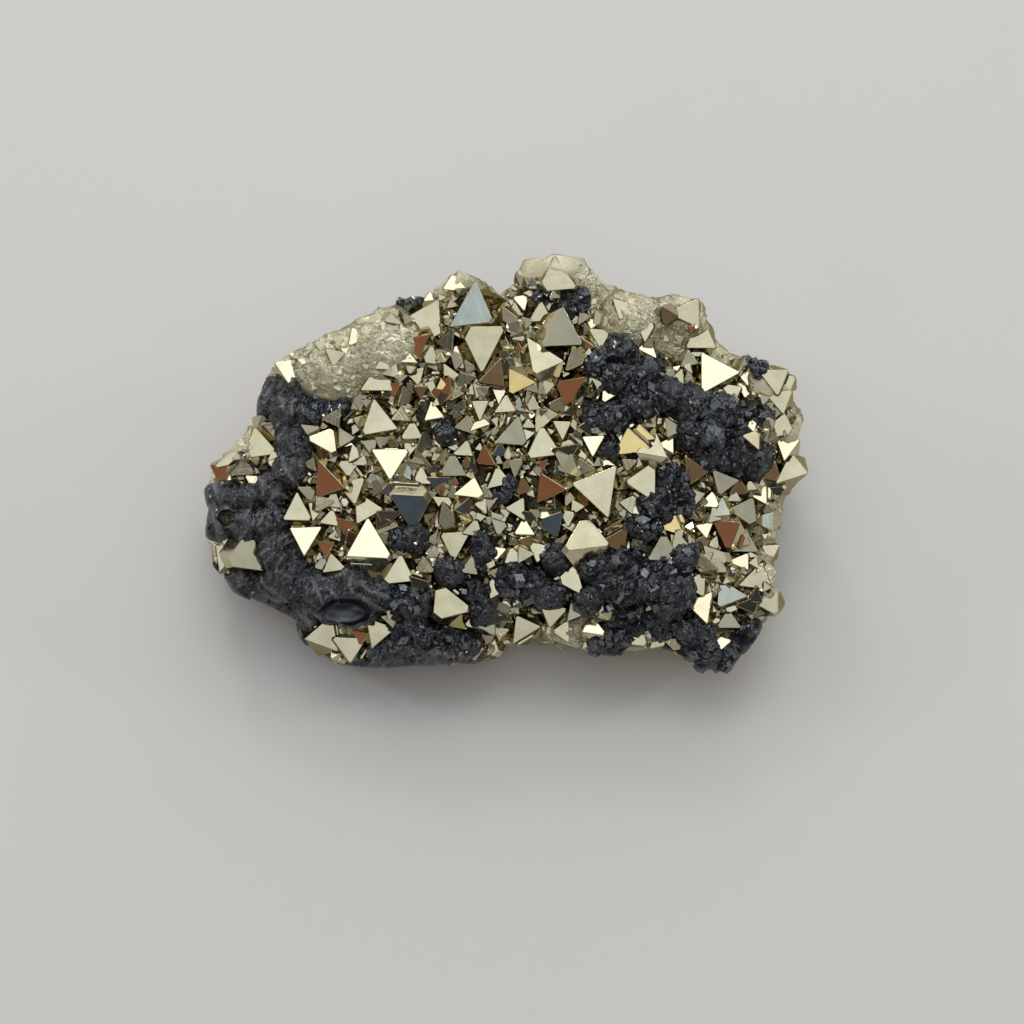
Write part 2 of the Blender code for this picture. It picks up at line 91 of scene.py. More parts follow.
# How far a listed crystal's front face stands over the matrix, and over a lobe, as a share of its edge.
SINK = 0.42
LOBE_STAND = 0.06
# A knot's height as a share of its width, its middle's height as a share of its radius, and its true radius
# as a share of the listed one.
KNOT_FLATTENING = 0.85
KNOT_RISE = 0.3
KNOT_SPREAD = 1.14

# The outline of the crystal face, clockwise from its left end.
OUTLINE = (
    (-36.6, 8.1), (-36.3, 11.6), (-34.7, 14.5), (-33.0, 15.9), (-30.2, 17.1), (-26.9, 19.1), (-23.0, 20.7),
    (-18.5, 22.9), (-14.3, 24.4), (-11.0, 25.1), (-8.6, 28.0), (-6.6, 28.5), (-3.3, 27.4), (-0.6, 25.4),
    (1.4, 27.0), (2.8, 30.2), (7.6, 31.2), (12.0, 30.4), (14.6, 27.2), (18.0, 25.9), (21.4, 24.8),
    (25.5, 25.2), (29.6, 23.8), (30.7, 19.8), (34.0, 16.6), (39.0, 15.0), (41.4, 13.6), (43.0, 10.1),
    (45.0, 7.4), (43.6, 3.4), (44.4, -1.4), (42.4, -5.0), (41.7, -8.6), (40.3, -12.5), (40.5, -17.0),
    (40.4, -20.9), (38.4, -24.6), (36.0, -28.2), (33.0, -31.0), (29.5, -30.7), (27.0, -28.8), (23.2, -26.2),
    (20.8, -27.7), (16.5, -28.8), (12.0, -27.9), (6.2, -26.3), (1.5, -26.8), (-3.9, -29.9), (-8.4, -29.9),
    (-13.0, -30.2), (-19.3, -30.6), (-25.0, -30.1), (-29.5, -27.2), (-31.0, -23.5), (-35.0, -21.4),
    (-40.0, -19.1), (-43.2, -15.2), (-44.6, -10.5), (-44.0, -7.0), (-44.8, -4.0), (-43.0, 0.2), (-39.2, 4.0),
)


class Lean(Enum):
    """Which way a crystal's front face leans from the specimen's own face: (towards, by), in degrees."""

    FLAT = (60, 4)
    UP = (95, 20)
    DOWN = (275, 24)
    LEFT = (195, 22)
    RIGHT = (350, 17)
    RIDGE = (78, 28)
    BLUE = (148, 20)
    GOLD = (232, 20)
    BROWN = (302, 18)


FLAT, UP, DOWN, LEFT, RIGHT, RIDGE, BLUE, GOLD, BROWN = Lean

# Each octahedron: the middle of its front face u, v, its edge, the way that face points, and its lean.
CREST_CRYSTALS = (
    (-30.9, 13.5, 5.4, 275, UP), (-18.2, 11.7, 5.0, 90, FLAT), (-18.3, 6.0, 5.6, 100, FLAT),
    (-11.4, 20.4, 7.0, 62, FLAT), (-12.8, 16.9, 4.4, 275, LEFT), (-10.9, 24.0, 2.4, 90, UP),
    (-7.2, 26.0, 3.6, 90, UP), (-4.6, 22.2, 7.2, 90, BLUE), (-3.2, 17.4, 7.4, 270, FLAT),
    (-1.4, 12.6, 4.4, 315, BROWN), (-14.0, 15.1, 2.6, 90, UP), (-12.8, 12.7, 3.0, 45, FLAT),
    (-8.0, 12.8, 3.0, 0, FLAT), (-12.1, 10.4, 2.4, 270, BROWN), (2.0, 11.6, 4.4, 240, GOLD),
    (7.6, 26.8, 6.0, 215, FLAT), (2.6, 23.6, 2.8, 40, UP), (5.3, 21.6, 3.6, 90, FLAT),
    (8.4, 18.8, 6.6, 90, RIGHT), (5.4, 15.2, 6.0, 0, RIDGE), (2.1, 16.3, 2.2, 90, LEFT),
    (9.4, 10.5, 5.0, 270, LEFT), (11.7, 17.0, 2.8, 0, LEFT), (14.0, 18.4, 3.4, 150, FLAT),
    (12.9, 20.4, 2.2, 20, UP), (15.0, 9.9, 2.8, 0, UP), (26.8, 21.8, 5.0, 60, FLAT),
    (28.7, 18.4, 5.2, 90, FLAT), (30.6, 13.1, 6.6, 0, UP), (33.2, 10.4, 3.2, 270, FLAT),
    (35.3, 10.8, 3.0, 20, UP), (35.4, 13.6, 3.6, 90, RIGHT), (39.4, 12.2, 4.6, 275, FLAT),
    (40.3, 9.2, 4.0, 40, FLAT), (23.6, 14.0, 2.4, 90, DOWN), (25.4, 12.4, 2.4, 70, FLAT),
    (27.0, 15.0, 3.0, 100, RIGHT), (20.6, 19.2, 3.0, 30, FLAT), (17.0, 22.4, 3.2, 140, FLAT),
    (-24.6, 15.4, 3.0, 20, FLAT), (-21.6, 18.2, 3.0, 110, UP), (11.6, 24.6, 3.0, 200, RIGHT),
)
LEFT_CRYSTALS = (
    (-35.8, 2.4, 5.2, 100, FLAT), (-38.0, -0.8, 3.6, 90, RIGHT), (-33.2, -0.3, 2.6, 45, FLAT),
    (-41.4, -1.6, 4.0, 270, LEFT), (-36.8, -2.6, 2.4, 30, UP), (-26.0, 3.2, 4.8, 60, UP),
    (-28.0, 4.6, 3.2, 150, RIGHT), (-23.2, 3.6, 3.0, 0, RIGHT), (-25.8, -2.8, 5.4, 350, LEFT),
    (-30.0, -7.0, 4.6, 90, FLAT), (-28.9, -10.8, 5.0, 270, UP), (-25.2, -8.2, 3.0, 80, FLAT),
    (-26.0, -12.4, 3.0, 270, LEFT), (-24.8, -14.9, 3.4, 100, FLAT), (-37.3, -13.6, 7.0, 85, RIGHT),
    (-40.9, -13.6, 3.8, 15, FLAT), (-40.6, -11.6, 2.0, 300, UP), (-39.6, -12.2, 2.0, 200, FLAT),
    (-39.2, -16.0, 2.6, 60, FLAT), (-40.2, -15.2, 2.0, 140, UP), (-22.6, -0.6, 3.2, 30, FLAT),
    (-20.6, 5.8, 3.0, 160, RIGHT), (-26.2, -25.2, 5.4, 70, FLAT), (-22.6, -26.8, 4.8, 30, FLAT),
    (-18.4, -24.6, 4.6, 10, FLAT), (-24.6, -27.2, 3.0, 120, UP), (-27.4, -22.9, 2.8, 10, FLAT),
    (-21.0, -25.4, 2.8, 140, LEFT), (-15.3, -16.0, 5.0, 90, FLAT), (-8.2, -20.5, 6.4, 110, FLAT),
    (-4.5, -23.2, 2.8, 200, FLAT), (-7.2, -11.6, 4.8, 270, FLAT), (-4.9, -15.2, 3.0, 80, RIGHT),
    (-1.2, -18.3, 3.2, 0, FLAT), (-2.2, -23.8, 3.2, 60, RIGHT), (-1.0, -13.0, 2.6, 20, UP),
    (-4.4, -27.0, 2.6, 100, UP), (2.8, -24.2, 4.4, 0, FLAT),
)
CENTRE_CRYSTALS = (
    (-16.5, 0.4, 5.6, 270, UP), (-3.5, 7.9, 3.0, 270, FLAT), (-10.3, 7.2, 3.2, 340, UP),
    (0.2, 8.2, 3.2, 90, FLAT), (-13.4, 4.4, 3.4, 90, FLAT), (-5.8, 1.8, 3.0, 80, FLAT),
    (-7.4, -0.8, 4.2, 90, RIGHT), (-2.8, 0.7, 3.4, 330, LEFT), (-0.6, 1.6, 2.6, 90, DOWN),
    (-0.8, -2.4, 3.6, 100, FLAT), (-4.8, -4.0, 4.2, 80, UP), (-12.0, -2.2, 3.0, 90, FLAT),
    (-9.6, -3.0, 3.4, 150, DOWN), (-8.8, -6.0, 3.2, 30, FLAT), (-15.9, -3.8, 4.2, 200, DOWN),
    (-13.4, -6.6, 6.6, 30, DOWN), (-20.2, -6.6, 4.8, 120, FLAT), (-19.6, -11.8, 7.0, 90, UP),
    (-9.4, 3.4, 2.8, 10, FLAT), (-19.4, 2.4, 2.8, 40, RIGHT), (1.4, 4.0, 5.0, 80, RIGHT),
    (5.6, 2.4, 5.4, 95, FLAT), (8.4, 5.0, 3.0, 30, FLAT), (12.9, 2.8, 3.6, 150, UP),
    (15.0, -0.6, 2.8, 0, UP), (18.4, 2.6, 5.2, 100, GOLD), (21.6, 2.2, 4.6, 80, RIDGE),
    (17.2, 4.6, 3.2, 30, UP), (21.0, 4.4, 2.8, 300, UP), (13.7, -3.9, 7.4, 50, FLAT),
    (20.4, -2.8, 5.6, 60, FLAT), (6.3, -3.8, 4.8, 355, LEFT), (2.8, -3.6, 3.0, 100, BROWN),
    (2.0, -6.7, 3.4, 60, FLAT), (2.9, -9.6, 3.2, 90, UP), (6.9, -8.9, 4.6, 50, DOWN),
    (11.8, -10.7, 7.0, 95, RIDGE), (16.4, -11.3, 4.4, 60, BROWN), (5.0, -12.8, 3.4, 20, FLAT),
    (9.8, -17.0, 4.6, 70, FLAT), (7.0, -22.0, 4.0, 20, FLAT), (10.4, -21.6, 3.4, 110, RIGHT),
    (8.6, -24.6, 3.2, 60, FLAT), (13.0, -24.0, 3.6, 90, UP), (14.7, -18.4, 3.0, 0, LEFT),
    (19.6, -25.6, 3.4, 80, FLAT), (22.4, -26.0, 3.0, 100, FLAT), (9.6, -4.8, 3.0, 240, RIGHT),
)
RIGHT_CRYSTALS = (
    (40.2, 5.4, 5.0, 90, FLAT), (41.2, 2.6, 4.2, 20, UP), (42.0, -1.0, 4.8, 100, FLAT),
    (39.2, -1.6, 3.4, 200, BROWN), (23.8, 2.6, 2.8, 60, UP), (24.4, 5.0, 3.2, 0, RIGHT),
    (27.5, -1.4, 4.4, 0, BROWN), (31.9, -2.8, 4.2, 250, RIGHT), (30.0, -5.6, 3.2, 80, UP),
    (34.2, -3.8, 3.0, 90, BROWN), (37.4, -4.6, 3.2, 60, UP), (35.3, -7.2, 4.8, 300, RIGHT),
    (38.2, -8.4, 3.4, 60, BLUE), (32.4, -10.1, 5.0, 270, LEFT), (29.2, -9.6, 2.8, 40, UP),
    (24.0, -8.6, 4.8, 80, GOLD), (23.2, -12.8, 5.0, 90, RIGHT), (35.2, -11.8, 4.2, 90, RIGHT),
    (34.6, -14.4, 3.2, 60, UP), (36.9, -17.0, 4.8, 80, FLAT), (38.6, -20.2, 4.6, 300, FLAT),
    (28.1, -17.6, 4.0, 300, FLAT), (28.7, -20.9, 4.6, 290, UP), (32.6, -19.2, 4.8, 355, BLUE),
    (32.8, -23.2, 3.6, 90, RIGHT), (31.4, -26.2, 3.4, 135, UP), (39.0, -13.0, 3.0, 30, FLAT),
)

# Rounded lobes of granular pyrite: middle u, v, height above the dome, and radius.
LOBES = (
    (7.5, 27.0, -1.0, 5.0), (12.8, 25.6, -1.0, 3.6), (18.6, 20.8, 0.4, 4.6), (26.6, 21.2, -0.6, 4.6),
    (38.8, 11.2, -0.4, 4.4), (-24.5, 14.0, -0.2, 6.0), (-17.5, 16.6, 0.2, 6.0), (-41.0, -13.0, -0.6, 4.0),
    (-7.0, 25.4, -1.0, 3.6), (36.4, 3.8, 0.2, 3.0), (41.2, 4.4, -0.6, 3.4), (-38.5, 1.6, -0.4, 4.0),
    (-31.6, 13.8, -0.6, 3.4), (37.4, -17.6, -0.2, 4.0), (20.0, -25.4, -0.4, 3.4), (9.0, -25.2, -0.4, 3.4),
)

# The sphalerite masses: knots of blende as middle u, v and radius.
SPHALERITE = {
    "sphalerite_left": (
        (-34.8, 8.6, 2.4), (-33.6, 11.2, 1.7), (-30.6, 10.0, 2.6), (-27.0, 8.0, 2.2), (-24.0, 8.0, 1.5),
        (-31.0, 6.2, 2.7), (-30.4, 2.4, 2.5), (-31.0, -1.2, 2.6), (-33.8, -4.0, 2.7), (-37.2, -5.2, 2.5),
        (-40.2, -5.0, 2.5), (-43.0, -5.2, 1.9), (-41.6, -8.8, 3.0), (-37.4, -9.2, 2.6),
        (-33.4, -8.6, 2.6), (-33.0, -12.6, 2.9), (-31.0, -16.6, 3.2), (-34.6, -18.6, 2.7),
        (-38.8, -17.8, 2.5), (-42.6, -15.4, 1.3), (-26.6, -18.6, 3.0), (-28.6, -22.0, 2.6),
        (-22.2, -17.8, 2.8), (-18.4, -19.0, 2.8), (-30.0, -25.6, 1.8), (-13.4, -20.6, 3.0),
        (-13.6, -25.0, 3.3), (-16.8, -27.4, 2.8), (-9.2, -26.4, 3.0), (-10.8, -28.2, 2.2),
        (-5.8, -26.4, 2.2),
    ),
    "sphalerite_lower_right": (
        (13.4, -15.2, 2.5), (17.4, -14.6, 2.6), (16.6, -18.6, 3.0), (20.2, -18.0, 2.6),
        (18.8, -22.0, 3.0), (22.8, -15.8, 2.6), (24.4, -19.4, 3.0), (23.4, -23.2, 2.6),
        (16.4, -24.6, 2.7), (15.0, -26.4, 2.3), (12.4, -19.6, 2.2), (27.6, -24.4, 2.6),
        (28.6, -27.6, 3.0), (32.8, -28.6, 2.7), (35.8, -25.4, 2.5), (26.2, -14.0, 2.4),
    ),
    "sphalerite_right_centre": ((24.4, -3.0, 2.4), (25.2, -5.4, 2.4), (22.0, -6.6, 2.5), (20.0, -9.6, 2.6)),
    "sphalerite_foot_centre": ((1.4, -17.0, 2.3), (4.4, -17.4, 2.3), (6.4, -19.0, 2.2)),
    "sphalerite_foot_left": ((-4.3, -19.2, 2.1), (-3.4, -21.4, 1.8)),
    "sphalerite_ball_foot": ((7.6, -13.8, 2.2),),
    "sphalerite_upper_right": (
        (17.0, 16.4, 2.3), (13.6, 13.8, 1.9), (16.2, 12.4, 2.6), (20.6, 12.6, 2.7), (19.6, 8.8, 2.5),
        (23.8, 9.6, 2.6), (16.0, 6.4, 2.2), (12.8, 7.0, 1.9), (27.6, 8.0, 2.7), (26.6, 4.6, 2.2),
        (31.4, 7.2, 2.5), (29.8, 3.6, 2.7), (33.6, 4.0, 2.4), (32.6, 0.2, 2.4), (36.0, 0.6, 2.6),
        (29.6, 0.6, 1.9), (37.4, 7.2, 1.8), (34.8, 7.0, 1.8),
    ),
    "sphalerite_crest": ((-14.5, 22.8, 1.9), (-13.4, 23.8, 1.3)),
    "sphalerite_notch": ((10.6, 23.6, 1.9), (9.4, 22.4, 1.3)),
    "sphalerite_notch_left": ((5.4, 24.2, 1.3),),
    "sphalerite_shoulder": ((37.4, 13.4, 1.3), (36.0, 14.8, 1.2)),
    "sphalerite_ball_upper": ((-8.6, 4.3, 1.8),),
    "sphalerite_ball_middle": ((0.5, -3.2, 1.6), (-0.3, -4.3, 1.3)),
    "sphalerite_ball_left": ((-13.0, -10.8, 2.3), (-15.4, -11.2, 1.7)),
    "sphalerite_ball_low": ((-7.9, -15.6, 2.2),),
    "sphalerite_ball_centre": ((-3.2, -11.4, 1.7), (-3.0, -13.6, 1.6)),
    "sphalerite_ball_right": ((15.2, 2.0, 1.5),),
}


# Where the pyrite is finely granular: ellipses of middle u, v and half widths.
GRANULAR_PATCHES = (
    (-24.0, 13.2, 7.4, 4.2), (-17.2, 17.0, 5.4, 4.0), (12.6, 26.2, 3.4, 3.6), (18.2, 21.2, 5.4, 4.4),
    (24.6, 18.2, 3.2, 2.6), (-41.8, -13.6, 2.8, 3.0), (-27.4, 17.2, 5.0, 2.4), (8.8, -23.0, 3.6, 3.8),
    (-23.0, -26.2, 4.8, 3.2),
)
# Where the pyrite is bare and smooth: ellipses of middle u, v and half widths.
BARE_PATCHES = (
    (39.8, 12.0, 3.6, 3.4), (28.4, 22.4, 3.4, 2.6), (6.2, 29.0, 5.4, 2.4), (-8.6, 26.8, 2.6, 2.0),
    (-40.6, 2.6, 2.2, 2.2), (41.6, -10.6, 1.6, 3.4), (42.6, 2.6, 1.6, 2.6),
)
# Knots that lie in here are smooth lumps: ellipses of middle u, v and half widths.
SMOOTH_PATCHES = ((-41.4, -6.8, 5.0, 5.0), (-36.4, -5.0, 3.4, 2.8))
# Knots that lie in here are massive, with low relief and pale veins, and carry no crystals.
MASSIVE_PATCHES = (
    (-32.0, 2.0, 5.0, 11.0), (-33.0, -12.0, 6.0, 8.0), (-25.0, -20.0, 9.0, 6.0), (-39.0, -16.5, 7.0, 4.6),
    (-41.4, -6.8, 5.0, 5.0), (-18.0, -29.0, 16.0, 2.6), (-30.0, -25.4, 3.0, 3.2),
)
# Hollows in the sphalerite: middle u, v, half widths, depth, and the height of the ridge round them.
HOLLOWS = ((-40.5, -8.1, 1.15, 1.15, 0.45, 0.5), (-23.0, -21.9, 3.8, 2.2, 1.0, 0.35))
# The sphalerite wall that wraps the rim: its run in degrees round the middle, the step along it, how far
# down the wall each row of its lumps lies, as a share, the run where the top two rows are missing, how
# far in they lie, their radius, and how far the lower rows stray.
WRAP_RUN = (186.0, 262.0)
WRAP_STEP = 2.6
WRAP_LEVELS = (0.0, 0.15, 0.29, 0.43, 0.57, 0.72, 0.88)
WRAP_GAP = (189.5, 199.0)
WRAP_INSET = 1.5
WRAP_RADIUS = 2.2
WRAP_STAGGER = 0.8
WRAPPED_MASS = "sphalerite_left"
# How finely the knots are fused, in millimetres: the wrapped mass, and the others.
WRAP_VOXEL = 0.25
KNOT_VOXEL = 0.22
# The pale seam along that wall: its reach from the middle, and its half width as a share of that reach.
SEAM_REACH = 0.95
SEAM_WIDTH = 0.013
# Low lumps of that mass in which its hollow lies.
HOLLOW_LUMPS = ((-25.2, -21.6, 2.2), (-22.4, -21.9, 2.3), (-19.8, -21.8, 2.0))


# ---- The frame of the crystal face, and the surfaces as whole-array formulas ----

FACE_LEAN = math.radians(20)
FACE_CENTRE = np.array((0.2, -1.7, 21.0))
FACE_AXES = np.array((
    (1.0, 0.0, 0.0),
    (0.0, math.cos(FACE_LEAN), math.sin(FACE_LEAN)),
    (0.0, -math.sin(FACE_LEAN), math.cos(FACE_LEAN)),
))


def to_world(places: np.ndarray) -> np.ndarray:
    """Places on the crystal face as points of the specimen.

    Args:
        places: rows of u, v and w in millimetres.

    Returns:
        Rows of x, y and z in metres: each coordinate times its axis, added up and moved to the centre.
    """
    return (np.asarray(places, float) @ FACE_AXES + FACE_CENTRE) * MM


def to_face(points: np.ndarray) -> np.ndarray:
    """Points of the specimen, in millimetres, as rows of u, v and w on the crystal face."""
    return (points - FACE_CENTRE) @ FACE_AXES.T


def unit(rows: np.ndarray) -> np.ndarray:
    """Rows scaled to length one."""
    return rows / np.maximum(np.linalg.norm(rows, axis=-1, keepdims=True), 1e-12)


def scrambled(whole: np.ndarray, salt: int) -> np.ndarray:
    """A repeatable random number from 0 to 1 for each row of whole numbers.

    The columns are multiplied by large odd numbers and folded together by exclusive or; the fold is shifted
    and multiplied again, and 24 of its bits are the number.

    Args:
        whole: rows of three whole numbers.
        salt: makes one set of numbers unlike another.
    """
    columns = whole.astype(np.int64).astype(np.uint64)
    folded = columns[..., 0] * np.uint64(73856093) ^ columns[..., 1] * np.uint64(19349663)
    folded = folded ^ columns[..., 2] * np.uint64(83492791) ^ np.uint64(salt * 2654435761 % 2**32)
    folded = (folded ^ (folded >> np.uint64(13))) * np.uint64(1274126177)
    folded = (folded ^ (folded >> np.uint64(16))) * np.uint64(2246822519)
    return ((folded >> np.uint64(7)) & np.uint64(0xFFFFFF)).astype(float) / 0xFFFFFF


def facets(points: np.ndarray, size: float, salt: int) -> np.ndarray:
    """Broken facets over a surface, as a height from about -1 to 1 at each point.

    Space is split into cells round scattered seeds about size apart. Inside a cell the height is a lift of
    its own plus a slope of its own times the offset from the seed, so each cell is one flat, tilted facet.

    Args:
        points: rows of three coordinates in millimetres.
        size: the spacing of the facets in millimetres.
        salt: makes one set of facets unlike another.
    """
    scaled = points / size
    home = np.floor(scaled)
    nearest = np.full(len(points), np.inf)
    height = np.zeros(len(points))
    for step in itertools.product((-1, 0, 1), repeat=3):
        cell = home + step
        seed = cell + np.stack([scrambled(cell, salt + k) for k in range(3)], axis=1)
        offset = scaled - seed
        far = (offset**2).sum(1)
        slope = np.stack([scrambled(cell, salt + k) for k in range(3, 6)], axis=1) * 2 - 1
        level = (offset * slope).sum(1) + scrambled(cell, salt + 6) * 0.8 - 0.4
        closer = far < nearest
        nearest[closer] = far[closer]
        height[closer] = level[closer]
    return height


def broken(a: np.ndarray, b: np.ndarray) -> np.ndarray:
    """The broken relief, from -1 to 1: two crossed swells and a shorter pair at half their height."""
    swell = np.sin(0.62 * a + 0.35 * b + 0.6) * np.sin(0.28 * a - 0.66 * b + 2.1)
    chop = np.sin(1.1 * a - 0.7 * b + 4.0) * np.sin(0.5 * a + 1.2 * b + 1.0)
    return (swell + 0.5 * chop) / 1.5


def rim_radius(angles: np.ndarray) -> np.ndarray:
    """The outline's distance from the middle in each direction.

    A ray meets each straight run of the outline where the run's start, crossed with the run, is divided by
    the ray crossed with the run; the farthest meeting that lies within its run counts.
    """
    points = np.array(OUTLINE) - MIDDLE
    sides = np.roll(points, -1, axis=0) - points
    rays = np.stack((np.cos(angles), np.sin(angles)), axis=-1)[..., None, :]
    across = rays[..., 0] * sides[:, 1] - rays[..., 1] * sides[:, 0]
    across = np.where(np.abs(across) < 1e-9, 1e-9, across)
    far = (points[:, 0] * sides[:, 1] - points[:, 1] * sides[:, 0]) / across
    share = (points[:, 0] * rays[..., 1] - points[:, 1] * rays[..., 0]) / across
    meets = (far > 0) & (share > -1e-6) & (share < 1 + 1e-6)
    return np.where(meets, far, 0.0).max(axis=-1)


RIM_STEPS = np.linspace(-math.pi, math.pi, 2881)
RIM_TABLE = rim_radius(RIM_STEPS)


def reach_of(flat: np.ndarray) -> np.ndarray:
    """How far out each place lies, from 0 at the middle to 1 at the rim."""
    offset = flat - MIDDLE
    rim = np.interp(np.arctan2(offset[..., 1], offset[..., 0]), RIM_STEPS, RIM_TABLE)
    return np.linalg.norm(offset, axis=-1) / (rim * RIM_INSET)


def matrix_height(flat: np.ndarray) -> np.ndarray:
    """How far the matrix stands out: crown less the rim's fall times the reach to the fourth, and relief."""
    fall = RIM_FALL * np.minimum(reach_of(flat), 1.0) ** 4
    return CROWN - fall + RELIEF * broken(flat[..., 0], flat[..., 1])


def ground_height(flat: np.ndarray) -> np.ndarray:
    """The height of the granular pyrite: the matrix and the domes of its lobes, each flowing into the next.

    Inside its circle a lobe is a flattened dome, and outside it falls away steeply. The higher of two
    heights is taken, plus the square of what their difference lacks of the flow, over four times the
    flow.

    Args:
        flat: rows of u and v.
    """
    ground = matrix_height(flat)
    for u, v, rise, radius in LOBES:
        grown = radius * KNOT_SPREAD * 0.96
        away = ((flat - (u, v)) ** 2).sum(-1) / grown**2
        middle = matrix_height(np.array((u, v))) + rise
        dome = KNOT_FLATTENING * grown * np.sqrt(np.maximum(1 - away, 0)) - 20 * np.maximum(away - 1, 0)
        gap = np.maximum(LOBE_FLOW - np.abs(ground - middle - dome), 0)
        ground = np.maximum(ground, middle + dome) + gap**2 / (4 * LOBE_FLOW)
    return ground


def patch_distance(flat: np.ndarray, patches: tuple) -> np.ndarray:
    """How far each place lies from the nearest ellipse's middle, as a share of its half widths.

    Args:
        flat: rows of u and v.
        patches: rows of middle u, v and half widths.
    """
    rows = np.array(patches)
    return np.sqrt((((flat[:, None] - rows[None, :, :2]) / rows[None, :, 2:]) ** 2).sum(2).min(1))


def in_patches(flat: np.ndarray, patches: tuple) -> np.ndarray:
    """Whether each place lies in one of those ellipses."""
    return patch_distance(flat, patches) < 1


def patch_share(flat: np.ndarray, patches: tuple) -> np.ndarray:
    """How deep in the ellipses each place lies: 1 well inside, 0 outside, and in between near their rims."""
    return np.clip((1.15 - patch_distance(flat, patches)) / 0.25, 0, 1)


# ---- Meshes from arrays ----


@dataclass
class Surface:
    """A surface in the specimen's frame, as arrays, that several forms can be gathered into.

    Attributes:
        points: rows of x, y and z in metres.
        triangles: rows of three indices into points, in order round the outside.
        normals: the shading normal of each point, or nothing where it follows from the triangles.
        chart: two coordinates in millimetres for each point, along the crystal face that it lies on.
        tint: a number from 0 to 1 for each point, the same over one crystal.
    """

    points: np.ndarray = field(default_factory=lambda: np.zeros((0, 3)))
    triangles: np.ndarray = field(default_factory=lambda: np.zeros((0, 3), int))
    normals: np.ndarray | None = None
    chart: np.ndarray | None = None
    tint: np.ndarray | None = None

    def joined(self, other: "Surface") -> "Surface":
        """Both surfaces as one."""
        pairs = ((getattr(self, name), getattr(other, name)) for name in ("normals", "chart", "tint"))
        return Surface(
            np.concatenate((self.points, other.points)),
            np.concatenate((self.triangles, other.triangles + len(self.points))),
            *(None if a is None or b is None else np.concatenate((a, b)) for a, b in pairs),
        )


@dataclass
class Room:
    """The box that the looks stay inside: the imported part's own box, drawn in by a hair.

    Attributes:
        low: the lowest corner in metres.
        high: the highest corner in metres.
    """

    low: np.ndarray
    high: np.ndarray

    def hold(self, points: np.ndarray) -> np.ndarray:
        """The points, with any that stand outside the box moved onto its nearest side."""
        return np.clip(points, self.low, self.high)


def read_back(items: bpy.types.bpy_prop_collection, name: str, width: int, kind: type) -> np.ndarray:
    """One property of every item of a mesh.

    Args:
        items: the mesh's vertices, edges, loops or triangles.
        name: the property.
        width: how many numbers it has.
        kind: the type of those numbers.

    Returns:
        One row for each item.
    """
    values = np.zeros(len(items) * width, kind)
    items.foreach_get(name, values)
    return values.reshape(-1, width)


def make_piece(
    name: str, surface: Surface, material: bpy.types.Material, flat: bool = False
) -> bpy.types.Object:
    """An object made from a surface.

    Args:
        name: the piece's name.
        surface: its points and triangles, with any normals, chart and tint.
        material: its finish.
        flat: whether each triangle is shaded as a flat face.

    Returns:
        The object, at the origin, unturned and unscaled.
    """
    count = len(surface.triangles)
    mesh = bpy.data.meshes.new(name)
    mesh.vertices.add(len(surface.points))
    mesh.vertices.foreach_set("co", surface.points.astype(np.float32).ravel())
    mesh.loops.add(count * 3)
    mesh.loops.foreach_set("vertex_index", surface.triangles.astype(np.int32).ravel())
    mesh.polygons.add(count)
    mesh.polygons.foreach_set("loop_start", np.arange(0, count * 3, 3, dtype=np.int32))
    mesh.update(calc_edges=True)
    mesh.polygons.foreach_set("use_smooth", np.full(count, not flat))
    if surface.chart is not None:
        layer = mesh.uv_layers.new(name="Chart")
        layer.data.foreach_set("uv", surface.chart[surface.triangles.ravel()].astype(np.float32).ravel())
    if surface.tint is not None:
        tint = mesh.attributes.new("tint", "FLOAT", "POINT")
        tint.data.foreach_set("value", surface.tint.astype(np.float32))
    if surface.normals is not None:
        mesh.normals_split_custom_set_from_vertices(surface.normals.astype(np.float32))
    mesh.validate()
    mesh.materials.append(material)
    thing = bpy.data.objects.new(name, mesh)
    bpy.context.scene.collection.objects.link(thing)
    return thing


def grid_triangles(rings: int, around: int) -> np.ndarray:
    """The triangles between neighbouring closed rings of points, as the rings run from the middle outwards.

    Args:
        rings: how many rings there are.
        around: how many points each has.
    """
    ring, step = np.meshgrid(np.arange(rings - 1), np.arange(around), indexing="ij")
    after = (step + 1) % around
    a, b = ring * around + step, ring * around + after
    c, d = a + around, b + around
    return np.concatenate((
        np.stack((a, c, d), axis=-1).reshape(-1, 3),
        np.stack((a, d, b), axis=-1).reshape(-1, 3),
    ))


def ball(subdivisions: int) -> tuple[np.ndarray, np.ndarray]:
    """The directions and triangles of an even ball, from an icosahedron divided that many times."""
    work = bmesh.new()
    bmesh.ops.create_icosphere(work, subdivisions=subdivisions, radius=1.0)
    mesh = bpy.data.meshes.new("ball")
    work.to_mesh(mesh)
    work.free()
    points = read_back(mesh.vertices, "co", 3, np.float32)
    corners = read_back(mesh.loops, "vertex_index", 1, np.int32)
    bpy.data.meshes.remove(mesh)
    return unit(points.astype(float)), corners.reshape(-1, 3)


# ---- The pyrite: its granular mass, its lobes, and its octahedra ----


